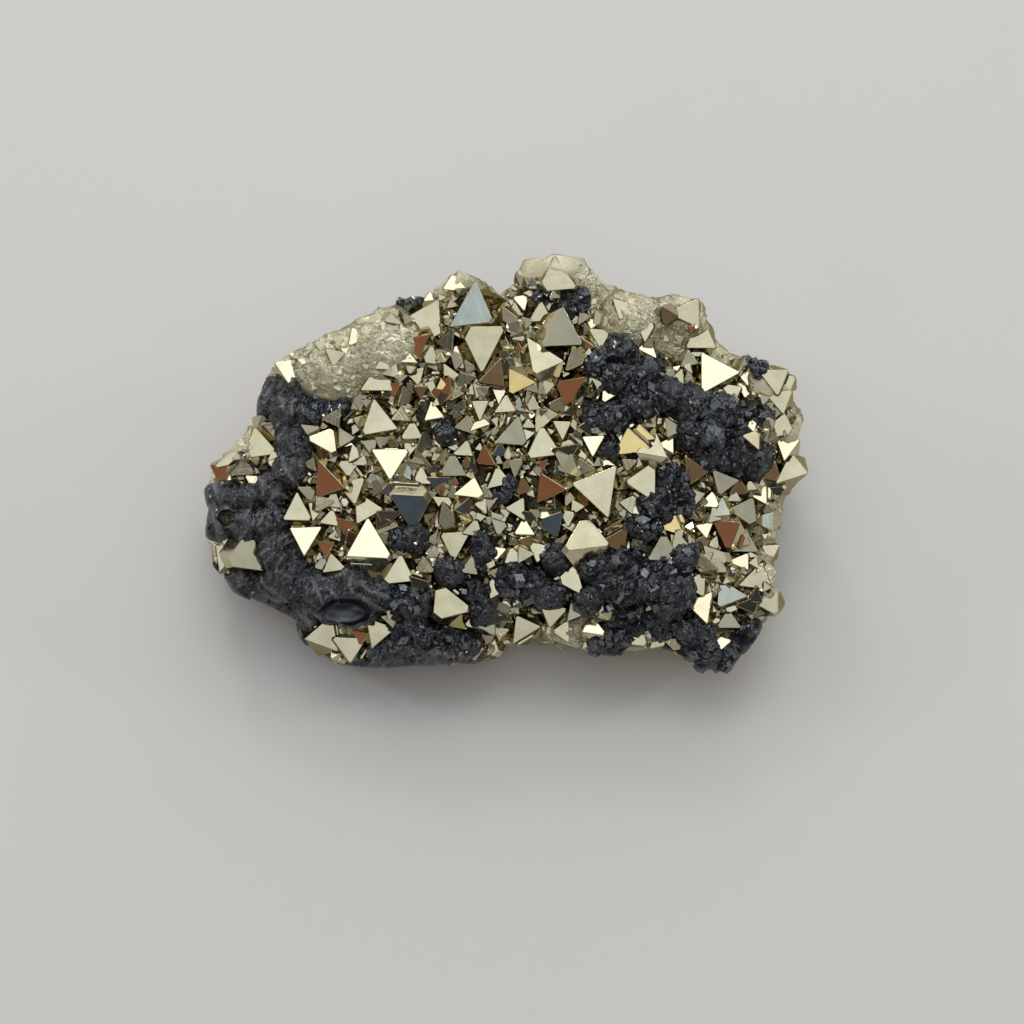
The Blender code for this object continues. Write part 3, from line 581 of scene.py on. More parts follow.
def wall_points(rim: np.ndarray, top: np.ndarray, levels: np.ndarray) -> tuple:
    """The wall between the front's rim and the flat foot.

    Each point lies on the straight line from the rim to the foot, moved outward by the wall's bulge at its
    level and by the broken relief.

    Args:
        rim: places round the outline.
        top: the front's last ring, in the specimen's frame, in millimetres.
        levels: shares of the way down.

    Returns:
        The points for each level, the foot's ring, and the outward direction at each place of the rim.
    """
    foot_flat = (rim - MIDDLE) * BASE_SCALE + BASE_CENTRE
    foot = np.stack((
        foot_flat[:, 0] + FACE_CENTRE[0],
        foot_flat[:, 1] * math.cos(FACE_LEAN) + FACE_CENTRE[1],
        np.zeros(len(foot_flat)),
    ), axis=1)
    outward = unit(foot * (1, 1, 0))
    level = np.asarray(levels)[:, None, None]
    wall = top * (1 - level) + foot * level
    stops, bulges = np.array(WALL_LEVELS).T
    weight = np.clip(np.minimum(level / 0.42, (1 - level) / 0.1), 0, 1)
    rough = broken(wall[..., 0] + wall[..., 1], wall[..., 2])[..., None] * WALL_RELIEF * weight
    return wall + outward * (np.interp(level, stops, bulges) + rough), foot, outward


@dataclass(frozen=True)
class GranularMass:
    """The matrix that the crystals stand on: a broken dome, its wall and its flat foot.

    Its tint is 0 between crowded crystals, where its finish paints it dark as shade, one half where the granular
    pyrite lies open, and 1 where it is bare.

    Attributes:
        runs: points along each straight run of the outline.
        front_rings: rings over the front.
        wall_rings: rings down the wall.
        foot_rings: rings over the foot.
        broad: spacing of the broad facets of the bare patches and the wall, in millimetres.
        coarse: spacing of the coarse facets in millimetres.
        fine: spacing of the fine facets in millimetres.
        broad_depth: the broad facets' half height in millimetres.
        coarse_depth: the coarse ones' half height in millimetres.
        fine_depth: the fine ones' half height in millimetres.
    """

    runs: int = 8
    front_rings: int = 100
    wall_rings: int = 52
    foot_rings: int = 16
    broad: float = 4.2
    coarse: float = 1.9
    fine: float = 0.7
    broad_depth: float = 0.7
    coarse_depth: float = 0.42
    fine_depth: float = 0.04

    def rim(self) -> np.ndarray:
        """Places along the outline, the straight runs divided evenly, against the clock."""
        corners = np.array(OUTLINE)[::-1]
        share = (np.arange(self.runs) / self.runs)[None, :, None]
        along = corners[:, None] * (1 - share) + np.roll(corners, -1, axis=0)[:, None] * share
        return along.reshape(-1, 2)

    def build(self) -> Surface:
        """The closed surface: front, wall and foot rings in one grid, with facets along its outward side.

        The facets' heights are added, each times the share that its kind of ground allows, and move each
        point along the way that the surface looks there.
        """
        rim = self.rim()
        spokes = rim - MIDDLE
        share = np.linspace(0, 1, self.front_rings + 1)[1:, None, None]
        flat = MIDDLE + spokes * share * RIM_INSET
        front = np.concatenate((flat, ground_height(flat)[..., None]), axis=-1)
        front_world = to_world(front.reshape(-1, 3)) / MM

        level = np.linspace(0, 1, self.wall_rings + 1)[1:]
        wall, foot, outward = wall_points(rim, front_world[-len(rim):], level)
        wall_world = wall.reshape(-1, 3)

        inward = np.linspace(1, 0, self.foot_rings + 1)[1:, None, None]
        foot_world = (foot * inward + foot.mean(0) * (1 - inward)).reshape(-1, 3)

        points = np.concatenate((front_world, wall_world, foot_world))
        turn = np.repeat(np.clip(share.ravel() * 6 - 5, 0, 1) * 0.7, len(rim))[:, None]
        out_front = unit(FACE_AXES[2] * (1 - turn) + np.tile(outward, (self.front_rings, 1)) * turn)
        out_wall = np.tile(outward, (self.wall_rings, 1))
        out_foot = np.tile((0.0, 0.0, 1.0), (len(foot_world), 1))
        places = to_face(points)[:, :2]
        down = (np.zeros(len(front_world)), np.repeat(level, len(rim)), np.ones(len(foot_world)))
        down = np.concatenate(down)
        bare = patch_share(places, BARE_PATCHES) * np.clip(1 - 4 * down, 0, 1)
        broad = self.broad_depth * facets(points, self.broad, 41)
        coarse = self.coarse_depth * facets(points, self.coarse, 3)
        fine = self.fine_depth * facets(points, self.fine, 17)
        granular = patch_share(places, GRANULAR_PATCHES)
        walls = np.clip(4 * down, 0, 1) * ~in_wrap(places)
        relief = broad * np.maximum(bare, walls) + coarse * (1 - bare * 0.9) * (1 - granular * 0.3)
        relief += fine * (1 - bare * 0.8)
        # Open ground gets no painted shade; the matrix between crowded crystals, with tint 0, is painted dark as
        # shade.
        edge = np.maximum(np.clip((reach_of(places) - 0.86) / 0.1, 0, 1), down > 0)
        open_ground = np.maximum(np.maximum(bare, granular), edge)
        keep = np.concatenate((
            np.ones(len(front_world)), np.repeat(1 - level**12, len(rim)), np.zeros(len(foot_world)),
        ))
        points = points + np.concatenate((out_front, out_wall, out_foot)) * (relief * keep)[:, None]
        foot_relief = np.maximum(facets(foot_world, 2.4, 29), 0) * 0.5
        points[-len(foot_world):, 2] = foot_relief
        points[:, 2] = np.maximum(points[:, 2], 0)
        rings = self.front_rings + self.wall_rings + self.foot_rings
        triangles = grid_triangles(rings, len(rim))
        middle = to_world(np.array([[*MIDDLE, ground_height(MIDDLE)]])) / MM
        ring = np.arange(len(rim))
        cap = np.stack((np.full(len(rim), len(points)), ring, (ring + 1) % len(rim)), axis=1)
        return Surface(
            np.concatenate((points, middle)) * MM, np.concatenate((triangles, cap)),
            tint=np.append((open_ground + bare) / 2, 0.0),
        )


@dataclass(frozen=True)
class Plan:
    """An octahedron with bevelled edges and cut corners, its uncut corners at distance one along the axes.

    Each point belongs to one of the eight faces, or to the flat that cuts one of the six corners. Its
    place is its corner, moved by the cut towards a neighbouring corner, then by the bevel towards its
    face's middle.

    Attributes:
        corner: each point's corner.
        along: its move for each unit of that corner's cut.
        inward: the sum of its face's corners, towards which the bevel draws it.
        cut: which of the six corners it stands at.
        normals: the flat that it shades with.
        triangles: rows of three indices.
    """

    corner: np.ndarray
    along: np.ndarray
    inward: np.ndarray
    cut: np.ndarray
    normals: np.ndarray
    triangles: np.ndarray

    def places(self, bevel: np.ndarray, cuts: np.ndarray) -> np.ndarray:
        """The points of each of several octahedra.

        Args:
            bevel: the bevel of each, as a share of its corner's reach.
            cuts: the cut of each of the six corners of each, as a share of the edge.
        """
        moved = self.corner + self.along * cuts[:, self.cut, None]
        share = bevel[:, None, None]
        return moved * (1 - 3 * share) + self.inward * share


# The points round the flat that cuts a corner: the signs of the two other axes, and which of them each is
# near.
END_RING = ((1, 1, 0), (1, 1, 1), (-1, 1, 1), (-1, 1, 0), (-1, -1, 0), (-1, -1, 1), (1, -1, 1), (1, -1, 0))
# The cut and the bevel of a sample octahedron, on which each flat's way round is tested.
SAMPLE_CUT = 0.2
SAMPLE_BEVEL = 0.1


def octahedron_plan() -> Plan:
    """The plan of an octahedron: six points round each face, twelve strips along edges, and six end flats."""
    signs = list(itertools.product((1, -1), repeat=3))
    axes = np.eye(3)
    rows, place = [], {}
    for end in (False, True):
        for sign in signs:
            for a, b in itertools.permutations(range(3), 2):
                place[end, sign, a, b] = len(rows)
                normal = sign[a] * axes[a] if end else np.array(sign) / math.sqrt(3)
                start, goal = sign[a] * axes[a], sign[b] * axes[b]
                rows.append((start, goal - start, np.array(sign, float), a * 2 + (sign[a] < 0), normal))
    corner, along, inward, cut, normals = (np.array(column) for column in zip(*rows))
    rings = []
    for sign in signs:
        rings.append([place[False, sign, a, b] for a, b in ((0, 1), (1, 0), (1, 2), (2, 1), (2, 0), (0, 2))])
    for a, b in ((0, 1), (1, 2), (0, 2)):
        for first in (s for s in signs if s[3 - a - b] == 1):
            other = tuple(-x if k == 3 - a - b else x for k, x in enumerate(first))
            rings.append([place[False, first, a, b], place[False, first, b, a],
                          place[False, other, b, a], place[False, other, a, b]])
    for a, way in itertools.product(range(3), (1, -1)):
        b, c = (a + 1) % 3, (a + 2) % 3
        ring = []
        for first, second, near in END_RING:
            sign = tuple({a: way, b: first, c: second}[k] for k in range(3))
            ring.append(place[True, sign, a, (b, c)[near]])
        rings.append(ring)
    shaped = (corner + along * SAMPLE_CUT) * (1 - 3 * SAMPLE_BEVEL) + inward * SAMPLE_BEVEL
    triangles = []
    for ring in rings:
        middle = shaped[ring].mean(0)
        pairs = zip(ring, ring[1:] + ring[:1])
        across = sum(np.cross(shaped[p] - middle, shaped[q] - middle) for p, q in pairs)
        ordered = ring if across @ middle > 0 else ring[::-1]
        triangles += [(ordered[0], ordered[i], ordered[i + 1]) for i in range(1, len(ordered) - 1)]
    return Plan(corner, along, inward, cut, normals, np.array(triangles))


# The greatest bevel and the least cut of an octahedron, as shares, and how far each crystal's chart is
# shifted by its tint, so that no two carry the same growth lines.
GREATEST_BEVEL = 0.12
LEAST_CUT = 0.02
CHART_SHIFT = 37


@dataclass
class Octahedra:
    """A crowd of octahedra in the frame of the crystal face.

    Attributes:
        middles: rows of u, v and w in millimetres.
        edges: edge lengths in millimetres.
        turns: rotation matrices, one for each.
        tints: a number from 0 to 1 for each.
    """

    middles: np.ndarray
    edges: np.ndarray
    turns: np.ndarray
    tints: np.ndarray

    def joined(self, other: "Octahedra") -> "Octahedra":
        """Both crowds as one."""
        return Octahedra(*(
            np.concatenate((getattr(self, name), getattr(other, name)))
            for name in ("middles", "edges", "turns", "tints")
        ))

    def chosen(self, keep: np.ndarray) -> "Octahedra":
        """Those that the mask keeps."""
        return Octahedra(self.middles[keep], self.edges[keep], self.turns[keep], self.tints[keep])

    def bevelled(self, bevel: float, cut: float) -> Surface:
        """The crowd with its edges softened and its corners cut, some more than others.

        Each corner's cut is the least cut, plus up to cut times a random number to the fourth power.

        Args:
            bevel: how far each face is drawn in from its corners, in millimetres.
            cut: the greatest cut of a corner over the least, as a share of the edge.
        """
        plan = octahedron_plan()
        count, size = len(self.edges), len(plan.cut)
        six = np.repeat(np.round(np.c_[self.edges, self.tints] * 1e4), 6, axis=0)
        chance = scrambled(np.c_[six, np.tile(np.arange(6), count)], 91).reshape(count, 6)
        shapes = plan.places(np.minimum(bevel / self.edges, GREATEST_BEVEL), LEAST_CUT + cut * chance**4)
        local = shapes * (self.edges / math.sqrt(2))[:, None, None]
        placed = np.einsum("nij,nkj->nki", self.turns, local) + self.middles[:, None]
        upright = np.linalg.inv(self.turns).transpose(0, 2, 1)
        normals = unit(np.einsum("nij,kj->nki", upright, plan.normals))
        first = unit(np.cross(plan.normals, np.roll(plan.normals, 1, axis=1) + (0, 0, 0.3)))
        second = np.cross(plan.normals, first)
        chart = np.stack(((local * first).sum(-1), (local * second).sum(-1)), axis=-1)
        chart += self.tints[:, None, None] * CHART_SHIFT
        steps = (np.arange(count) * size)[:, None, None]
        return Surface(
            to_world(placed.reshape(-1, 3)),
            (plan.triangles[None] + steps).reshape(-1, 3),
            (normals @ FACE_AXES).reshape(-1, 3),
            chart.reshape(-1, 2),
            np.repeat(self.tints, size),
        )

    def twelve_faced(self) -> Surface:
        """The crowd as crystals of twelve rhombic faces."""
        corners, triangles = rhombic_plan()
        local = corners * (self.edges / math.sqrt(2))[:, None, None]
        placed = np.einsum("nij,nkj->nki", self.turns, local) + self.middles[:, None]
        steps = (np.arange(len(self.edges)) * len(corners))[:, None, None]
        return Surface(
            to_world(placed.reshape(-1, 3)),
            (triangles[None] + steps).reshape(-1, 3),
            tint=np.repeat(self.tints, len(corners)),
        )


def rhombic_plan() -> tuple[np.ndarray, np.ndarray]:
    """The corners and triangles of a rhombic dodecahedron: two triangles across each edge of a cube."""
    cube = np.array(list(itertools.product((0.5, -0.5), repeat=3)))
    tips = np.concatenate((np.eye(3), -np.eye(3)))
    corners = np.concatenate((cube, tips))
    triangles = []
    for i, j in itertools.combinations(range(8), 2):
        if np.abs(cube[i] - cube[j]).sum() == 1:
            near = [8 + k for k in range(6) if tips[k] @ cube[i] > 0 and tips[k] @ cube[j] > 0]
            for first, tip in ((i, near[0]), (j, near[1])):
                other = near[1] if tip == near[0] else near[0]
                ring = (first, tip, other)
                across = np.cross(corners[tip] - corners[first], corners[other] - corners[first])
                triangles.append(ring if across @ corners[first] > 0 else ring[::-1])
    return corners, np.array(triangles)


def turns_about(axes: np.ndarray, angles: np.ndarray) -> np.ndarray:
    """Rotation matrices about axes.

    Each is the identity, plus the sine times the axis's cross matrix, plus one less the cosine times that
    matrix squared.

    Args:
        axes: rows of three coordinates.
        angles: the angle about each, in radians.
    """
    axes = unit(axes)
    cross = np.zeros((len(axes), 3, 3))
    cross[:, 0, 1], cross[:, 0, 2], cross[:, 1, 2] = -axes[:, 2], axes[:, 1], -axes[:, 0]
    cross -= cross.transpose(0, 2, 1)
    sine, cosine = np.sin(angles)[:, None, None], np.cos(angles)[:, None, None]
    return np.eye(3) + sine * cross + (1 - cosine) * cross @ cross


def random_turns(chance: np.random.Generator, count: int) -> np.ndarray:
    """Rotations spread evenly over all ways, from random quaternions."""
    w, x, y, z = unit(chance.normal(size=(count, 4))).T
    return np.stack((
        np.stack((1 - 2 * (y * y + z * z), 2 * (x * y - z * w), 2 * (x * z + y * w)), axis=-1),
        np.stack((2 * (x * y + z * w), 1 - 2 * (x * x + z * z), 2 * (y * z - x * w)), axis=-1),
        np.stack((2 * (x * z - y * w), 2 * (y * z + x * w), 1 - 2 * (x * x + y * y)), axis=-1),
    ), axis=1)


# The turn that brings one face of an octahedron square to the front.
FACE_TO_FRONT = np.array((
    (1 / math.sqrt(2), -1 / math.sqrt(2), 0.0),
    (1 / math.sqrt(6), 1 / math.sqrt(6), -2 / math.sqrt(6)),
    (1 / math.sqrt(3), 1 / math.sqrt(3), 1 / math.sqrt(3)),
))


# How far a listed crystal is stretched, a small one of pyrite, and one of sphalerite, as shares.
TABLE_STRETCH = 0.16
DRUSE_STRETCH = 0.22
BLENDE_STRETCH = 0.12


def table_crystals(rows: tuple) -> Octahedra:
    """The octahedra of one table, each lean a little scattered.

    One face is turned to the front, spun until a corner points the way the row says, stretched a little one
    way along the face, and leaned. The crystal's middle lies behind that face by the edge over root six.

    Args:
        rows: the table's rows.
    """
    shuffle = random.Random(len(rows))
    scatter = np.array([(shuffle.uniform(-4, 4), shuffle.uniform(-1.5, 1.5)) for _ in rows])
    places = np.array([row[:2] for row in rows])
    edges = np.array([row[2] for row in rows])
    points = np.radians([row[3] for row in rows])
    towards, lean = np.radians(np.array([row[4].value for row in rows]) + scatter).T
    corner = FACE_TO_FRONT[:, 0]
    spin = points - math.atan2(corner[1], corner[0])
    up = np.tile((0.0, 0.0, 1.0), (len(rows), 1))
    tilt = turns_about(np.stack((-np.sin(towards), np.cos(towards), np.zeros(len(rows))), axis=1), lean)
    front = tilt @ np.array((0.0, 0.0, 1.0))
    tints = scrambled(np.round(np.c_[places, edges] * 10), 5)
    askew = turns_about(up, tints * 19)
    stretch = 1 + TABLE_STRETCH * (2 * scrambled(np.round(np.c_[places, edges] * 10), 6) - 1)
    widened = askew * np.stack((stretch, 1 / stretch, np.ones(len(rows))), axis=1)[:, None, :]
    turns = tilt @ widened @ askew.transpose(0, 2, 1) @ turns_about(up, spin) @ FACE_TO_FRONT
    heights = np.maximum(matrix_height(places) + SINK * edges, ground_height(places) + LOBE_STAND * edges)
    faces = np.concatenate((places, heights[:, None]), axis=1)
    return Octahedra(faces - front * edges[:, None] / math.sqrt(6), edges, turns, tints)


# A crystal of a lesser edge than this, in millimetres, carries no others. The others' edges are this
# share of its own, they are turned away from its outer corner by this share, and they stand proud of its
# faces by this share of their reach, or of the greatest reach that counts.
LEAST_PARENT = 2.9
GROWN_EDGES = (0.22, 0.72)
GROWN_AWAY = (0.5, 0.8)
GROWN_PROUD = (0.25, 0.8)
GROWN_REACH = 2.0


def overgrown(parents: Octahedra, chance: np.random.Generator, each: int) -> Octahedra:
    """Smaller octahedra grown parallel to larger ones, standing a little proud of their faces.

    A small one would lie just inside its parent where its middle's coordinates, without signs, add up to
    the difference of their reaches. It is moved out along a random direction until they add up to a
    little more.

    Args:
        parents: the crystals that they grow on.
        chance: the source of random numbers.
        each: how many grow on each crystal.
    """
    parents = parents.chosen(parents.edges > LEAST_PARENT)
    turns = np.repeat(parents.turns, each, axis=0)
    reach = np.repeat(parents.edges, each) / math.sqrt(2)
    share = chance.uniform(*GROWN_EDGES, len(reach))
    direction = chance.normal(size=(len(reach), 3))
    outwards = np.maximum(direction.sum(1, keepdims=True), 0)
    direction -= outwards * chance.uniform(*GROWN_AWAY, (len(reach), 1))
    direction /= np.abs(direction).sum(1, keepdims=True)
    proud = chance.uniform(*GROWN_PROUD, len(reach)) * np.minimum(reach * share, GROWN_REACH)
    offset = direction * (reach * (1 - share) + proud)[:, None]
    middles = np.repeat(parents.middles, each, axis=0) + np.einsum("nij,nj->ni", turns, offset)
    tints = np.clip(np.repeat(parents.tints, each) + chance.uniform(-0.1, 0.1, len(reach)), 0, 1)
    return Octahedra(middles, reach * share * math.sqrt(2), turns, tints)


def scattered_places(chance: np.random.Generator, count: int) -> np.ndarray:
    """Places strewn evenly inside the rim."""
    tried = chance.uniform((-46, -32), (46, 32), size=(count * 3, 2))
    return tried[reach_of(tried) < 0.97][:count]


def sphalerite_cover(flat: np.ndarray) -> np.ndarray:
    """How deep inside the sphalerite knots each place lies, as a share of the radius: 1 at a knot's
    middle, and below 0 outside them all."""
    knots = np.array([knot for mass in SPHALERITE.values() for knot in mass] + list(HOLLOW_LUMPS))
    away = np.linalg.norm(flat[:, None] - knots[None, :, :2], axis=2) / (knots[:, 2] * KNOT_SPREAD)
    return 1 - away.min(1)


def wrap_turn(flat: np.ndarray) -> tuple[np.ndarray, np.ndarray]:
    """Each place's bearing from the middle, in degrees, and whether the sphalerite wraps the rim there."""
    offset = flat - MIDDLE
    turn = np.degrees(np.arctan2(offset[:, 1], offset[:, 0])) % 360
    return turn, (turn > WRAP_RUN[0]) & (turn < WRAP_RUN[1])


def in_wrap(flat: np.ndarray) -> np.ndarray:
    """Whether each place lies near the rim where the sphalerite wraps it, outside the pyrite patches."""
    return wrap_turn(flat)[1] & (reach_of(flat) > 0.88) & ~in_patches(flat, GRANULAR_PATCHES)


def leaning_turns(chance: np.random.Generator, count: int, scatter: float) -> np.ndarray:
    """Turns that bring one face to the front, pointing anyhow and leaning any way.

    Args:
        chance: the source of random numbers.
        count: how many turns.
        scatter: about how far they lean, in radians.
    """
    up = np.tile((0.0, 0.0, 1.0), (count, 1))
    towards = chance.uniform(0, 2 * math.pi, count)
    tilt = turns_about(
        np.stack((-np.sin(towards), np.cos(towards), np.zeros(count)), axis=1),
        chance.normal(0, scatter, count),
    )
    return tilt @ turns_about(up, chance.uniform(0, 2 * math.pi, count)) @ FACE_TO_FRONT


def clear_of(places: np.ndarray, edges: np.ndarray, share: float) -> np.ndarray:
    """Which small crystals keep clear of the front faces of the listed ones.

    Args:
        places: rows of u and v.
        edges: the small crystals' edges in millimetres.
        share: how far from a listed crystal's middle they keep, as a share of its edge.
    """
    listed = np.array([row[:3] for row in CREST_CRYSTALS + LEFT_CRYSTALS + CENTRE_CRYSTALS + RIGHT_CRYSTALS])
    away = np.linalg.norm(places[:, None] - listed[None, :, :2], axis=2)
    return (away > share * listed[:, 2] + 0.28 * edges[:, None]).all(1)


# Small crystals grow no deeper under a knot than this cover.
CLEAR_COVER = 0.12


@dataclass(frozen=True)
class Druse:
    """How small crystals are strewn over the pyrite.

    Attributes:
        count: how many places are tried.
        sizes: the least and greatest edge in millimetres.
        scatter: how far their front faces lean, in radians, or 0 where they are turned every way.
        clear: how far from a listed crystal's middle they keep, as a share of its edge.
        rise: the least and greatest height of their middles over the ground, as a share of their edge.
        within: the ellipses that they keep to, or nothing where they grow all over.
    """

    count: int
    sizes: tuple[float, float]
    scatter: float
    clear: float
    rise: tuple[float, float]
    within: tuple = ()

    def build(self, chance: np.random.Generator) -> Octahedra:
        """The crystals, over the pyrite that neither sphalerite nor fine grains cover.

        Args:
            chance: the source of random numbers.
        """
        places = scattered_places(chance, self.count)
        edges = self.sizes[0] + (self.sizes[1] - self.sizes[0]) * chance.beta(1.4, 2.6, len(places))
        keep = sphalerite_cover(places) < CLEAR_COVER
        keep &= ~in_patches(places, GRANULAR_PATCHES + BARE_PATCHES)
        keep &= clear_of(places, edges, self.clear) & ~in_wrap(places)
        if self.within:
            keep &= in_patches(places, self.within)
        places, edges = places[keep], edges[keep]
        heights = ground_height(places) + edges * chance.uniform(*self.rise, len(places))
        if self.scatter:
            turns = leaning_turns(chance, len(places), self.scatter)
        else:
            turns = random_turns(chance, len(places))
        stretch = np.exp(chance.normal(0, DRUSE_STRETCH, (len(places), 1, 3)))
        return Octahedra(np.c_[places, heights], edges, turns * stretch, chance.random(len(places)))


# The druses: the chips that fill the gaps, crystals turned every way, crystals that face the front, small
# ones among them, and broad ones on the right and over the middle.
FILLING = Druse(1700, (0.8, 2.6), 0.0, 0.22, (-0.3, 0.2))
STANDING = Druse(520, (1.6, 3.4), 0.0, 0.36, (-0.05, 0.4))
FACING = Druse(1250, (1.8, 4.2), 0.2, 0.38, (-0.1, 0.3))
CHIPS = Druse(1700, (0.9, 2.4), 0.3, 0.24, (-0.1, 0.3))
BROAD = Druse(900, (3.2, 5.0), 0.1, 0.46, (-0.1, 0.16), ((34.0, -12.5, 7.6, 12.0), (13.0, -2.0, 9.0, 5.0)))


@dataclass(frozen=True)
class FineGrains:
    """Small faces that glint here and there over the granular patches, on crystals mostly sunk in them.

    Attributes:
        count: how many are tried.
        edge: their least edge, and how much more the greatest is, in millimetres.
        sunk: the least and greatest depth of their middles under the ground, as a share of their edge.
        lean: about how far their front faces lean, in radians.
        reach: how far out over a patch they lie, as a share of its half widths.
    """

    count: int = 190
    edge: tuple[float, float] = (0.7, 1.9)
    sunk: tuple[float, float] = (0.3, 0.44)
    lean: float = 0.2
    reach: float = 1.06

    def build(self, chance: np.random.Generator) -> Octahedra:
        """The grains.

        Args:
            chance: the source of random numbers.
        """
        rows = np.array(GRANULAR_PATCHES)
        area = rows[:, 2] * rows[:, 3]
        patch = rows[chance.choice(len(rows), self.count, p=area / area.sum())]
        angle = chance.uniform(0, 2 * math.pi, self.count)
        out = np.sqrt(chance.random(self.count)) * self.reach
        towards = np.stack((np.cos(angle), np.sin(angle)), axis=1)
        places = patch[:, :2] + patch[:, 2:] * towards * out[:, None]
        places = places[(reach_of(places) < 0.99) & (sphalerite_cover(places) < 0.1)]
        edges = self.edge[0] + self.edge[1] * chance.beta(1.2, 3.0, len(places))
        heights = ground_height(places) - edges * chance.uniform(*self.sunk, len(places))
        turns = leaning_turns(chance, len(places), self.lean)
        return Octahedra(np.c_[places, heights], edges, turns, chance.random(len(places)))


# ---- Knots and lobes ----


@dataclass(frozen=True)
class Habit:
    """How a rounded lump is cut and broken.

    Attributes:
        planes: how many flats cut it.
        nearest: the least distance of a flat from the middle, as a share of the radius.
        sharpness: how sharply the flats meet; a greater number is sharper.
        coarse: spacing and half height of its coarse facets in millimetres.
        fine: spacing and half height of its fine facets in millimetres.
    """

    planes: int
    nearest: float
    sharpness: float
    coarse: tuple[float, float]
    fine: tuple[float, float]


BLENDE_HABIT = Habit(13, 0.72, 34.0, (1.6, 0.12), (0.7, 0.05))
SMOOTH_HABIT = Habit(9, 0.86, 9.0, (2.6, 0.05), (0.6, 0.012))


def lumps(middles: np.ndarray, radii: np.ndarray, habit: Habit, subdivisions: int, salt: int) -> Surface:
    """Lumps cut by random flats, each a closed surface round its own middle.

    Along a direction a flat is met at its distance divided by the cosine to it. The surface lies at the
    soft least of those: their inverses to the power of the sharpness, added, and to the inverse power.

    Args:
        middles: rows of u, v and w in millimetres.
        radii: their radii in millimetres.
        habit: how they are cut.
        subdivisions: how finely the ball is divided.
        salt: makes one set unlike another.
    """
    directions, triangles = ball(subdivisions)
    chance = np.random.default_rng(salt)
    normals = unit(chance.normal(size=(len(radii), habit.planes, 3)))
    distances = chance.uniform(habit.nearest, 1.04, (len(radii), habit.planes))
    facing = np.maximum(np.einsum("nkj,dj->nkd", normals, directions), 1e-3)
    met = np.maximum(facing / distances[:, :, None], 0.93)
    radius = (met**habit.sharpness).sum(1) ** (-1 / habit.sharpness)
    radius = radius * habit.planes ** (0.35 / habit.sharpness)
    local = directions[None] * (radius * radii[:, None])[..., None]
    places = (middles[:, None] + local * (1, 1, KNOT_FLATTENING)).reshape(-1, 3)
    outward = np.tile(directions, (len(radii), 1))
    for spacing, depth in (habit.coarse, habit.fine):
        places = places + outward * (depth * facets(places, spacing, salt + int(spacing * 10)))[:, None]
    steps = (np.arange(len(radii)) * len(directions))[:, None, None]
    tint = np.repeat(chance.random(len(radii)), len(directions))
    return Surface(to_world(places), (triangles[None] + steps).reshape(-1, 3), tint=tint)


def fused(surface: Surface, voxel: float, smoothings: int) -> tuple[Surface, np.ndarray]:
    """Overlapping lumps as one skin.

    The space that they fill is sampled on a grid and skinned. Each smoothing then moves every point halfway
    to the mean of its neighbours.

    Args:
        surface: the lumps, in metres.
        voxel: the grid's spacing in millimetres.
        smoothings: how many times the skin is smoothed.

    Returns:
        The skin in metres, and its outward direction at each point.
    """
    mesh = bpy.data.meshes.new("lumps")
    mesh.from_pydata((surface.points / MM).tolist(), [], surface.triangles.tolist())
    thing = bpy.data.objects.new("lumps", mesh)
    bpy.context.scene.collection.objects.link(thing)
    remesh = thing.modifiers.new("skin", "REMESH")
    remesh.mode = "VOXEL"
    remesh.voxel_size = voxel
    bpy.context.view_layer.update()
    skin = bpy.data.meshes.new_from_object(thing.evaluated_get(bpy.context.evaluated_depsgraph_get()))
    points = read_back(skin.vertices, "co", 3, np.float32).astype(float)
    edges = read_back(skin.edges, "vertices", 2, np.int32)
    ends = np.concatenate((edges, edges[:, ::-1]))
    neighbours = np.maximum(np.bincount(ends[:, 0], minlength=len(points)), 1)[:, None]
    for _ in range(smoothings):
        total = np.stack(
            [np.bincount(ends[:, 0], points[ends[:, 1], k], minlength=len(points)) for k in range(3)], axis=1
        )
        points = (points + total / neighbours) / 2
    skin.vertices.foreach_set("co", points.astype(np.float32).ravel())
    skin.update()
    normals = read_back(skin.vertex_normals, "vector", 3, np.float32).astype(float)
    skin.calc_loop_triangles()
    triangles = read_back(skin.loop_triangles, "vertices", 3, np.int32)
    bpy.data.objects.remove(thing)
    bpy.data.meshes.remove(mesh)
    bpy.data.meshes.remove(skin)
    return Surface(points * MM, triangles), normals


# Beyond this reach from the middle a knot's swelling is held back, to this share.
RIM_HOLD = (1.0, 0.3)


def held_in(places: np.ndarray) -> np.ndarray:
    """Points of the sphalerite with what swells out past the rim drawn back towards it.

    Args:
        places: rows of u, v and w in millimetres.
    """
    start, share = RIM_HOLD
    reach = reach_of(places[:, :2])
    held = np.where(reach > start, start + (reach - start) * share, reach)
    flat = MIDDLE + (places[:, :2] - MIDDLE) * (held / np.maximum(reach, 1e-6))[:, None]
    return np.c_[flat, places[:, 2]]


def wrap_lumps() -> np.ndarray:
    """The middles of the lumps of the sphalerite wall, in rows down the wall, as u, v and w."""
    angles = np.radians(np.arange(*WRAP_RUN, WRAP_STEP))
    rim = MIDDLE + rim_radius(angles)[:, None] * np.stack((np.cos(angles), np.sin(angles)), axis=1)
    flat = MIDDLE + (rim - MIDDLE) * RIM_INSET
    top = to_world(np.c_[flat, ground_height(flat)]) / MM
    wall, _, outward = wall_points(rim, top, np.array(WRAP_LEVELS))
    stagger = np.random.default_rng(31).uniform(-WRAP_STAGGER, WRAP_STAGGER, wall.shape)
    middles = wall - outward * WRAP_INSET + stagger * (np.arange(len(wall)) > 1)[:, None, None]
    middles[..., 2] = np.maximum(middles[..., 2], 0.0)
    gap = (angles > math.radians(WRAP_GAP[0])) & (angles < math.radians(WRAP_GAP[1]))
    middles = np.concatenate((middles[:2, ~gap].reshape(-1, 3), middles[2:].reshape(-1, 3)))
    return to_face(middles)


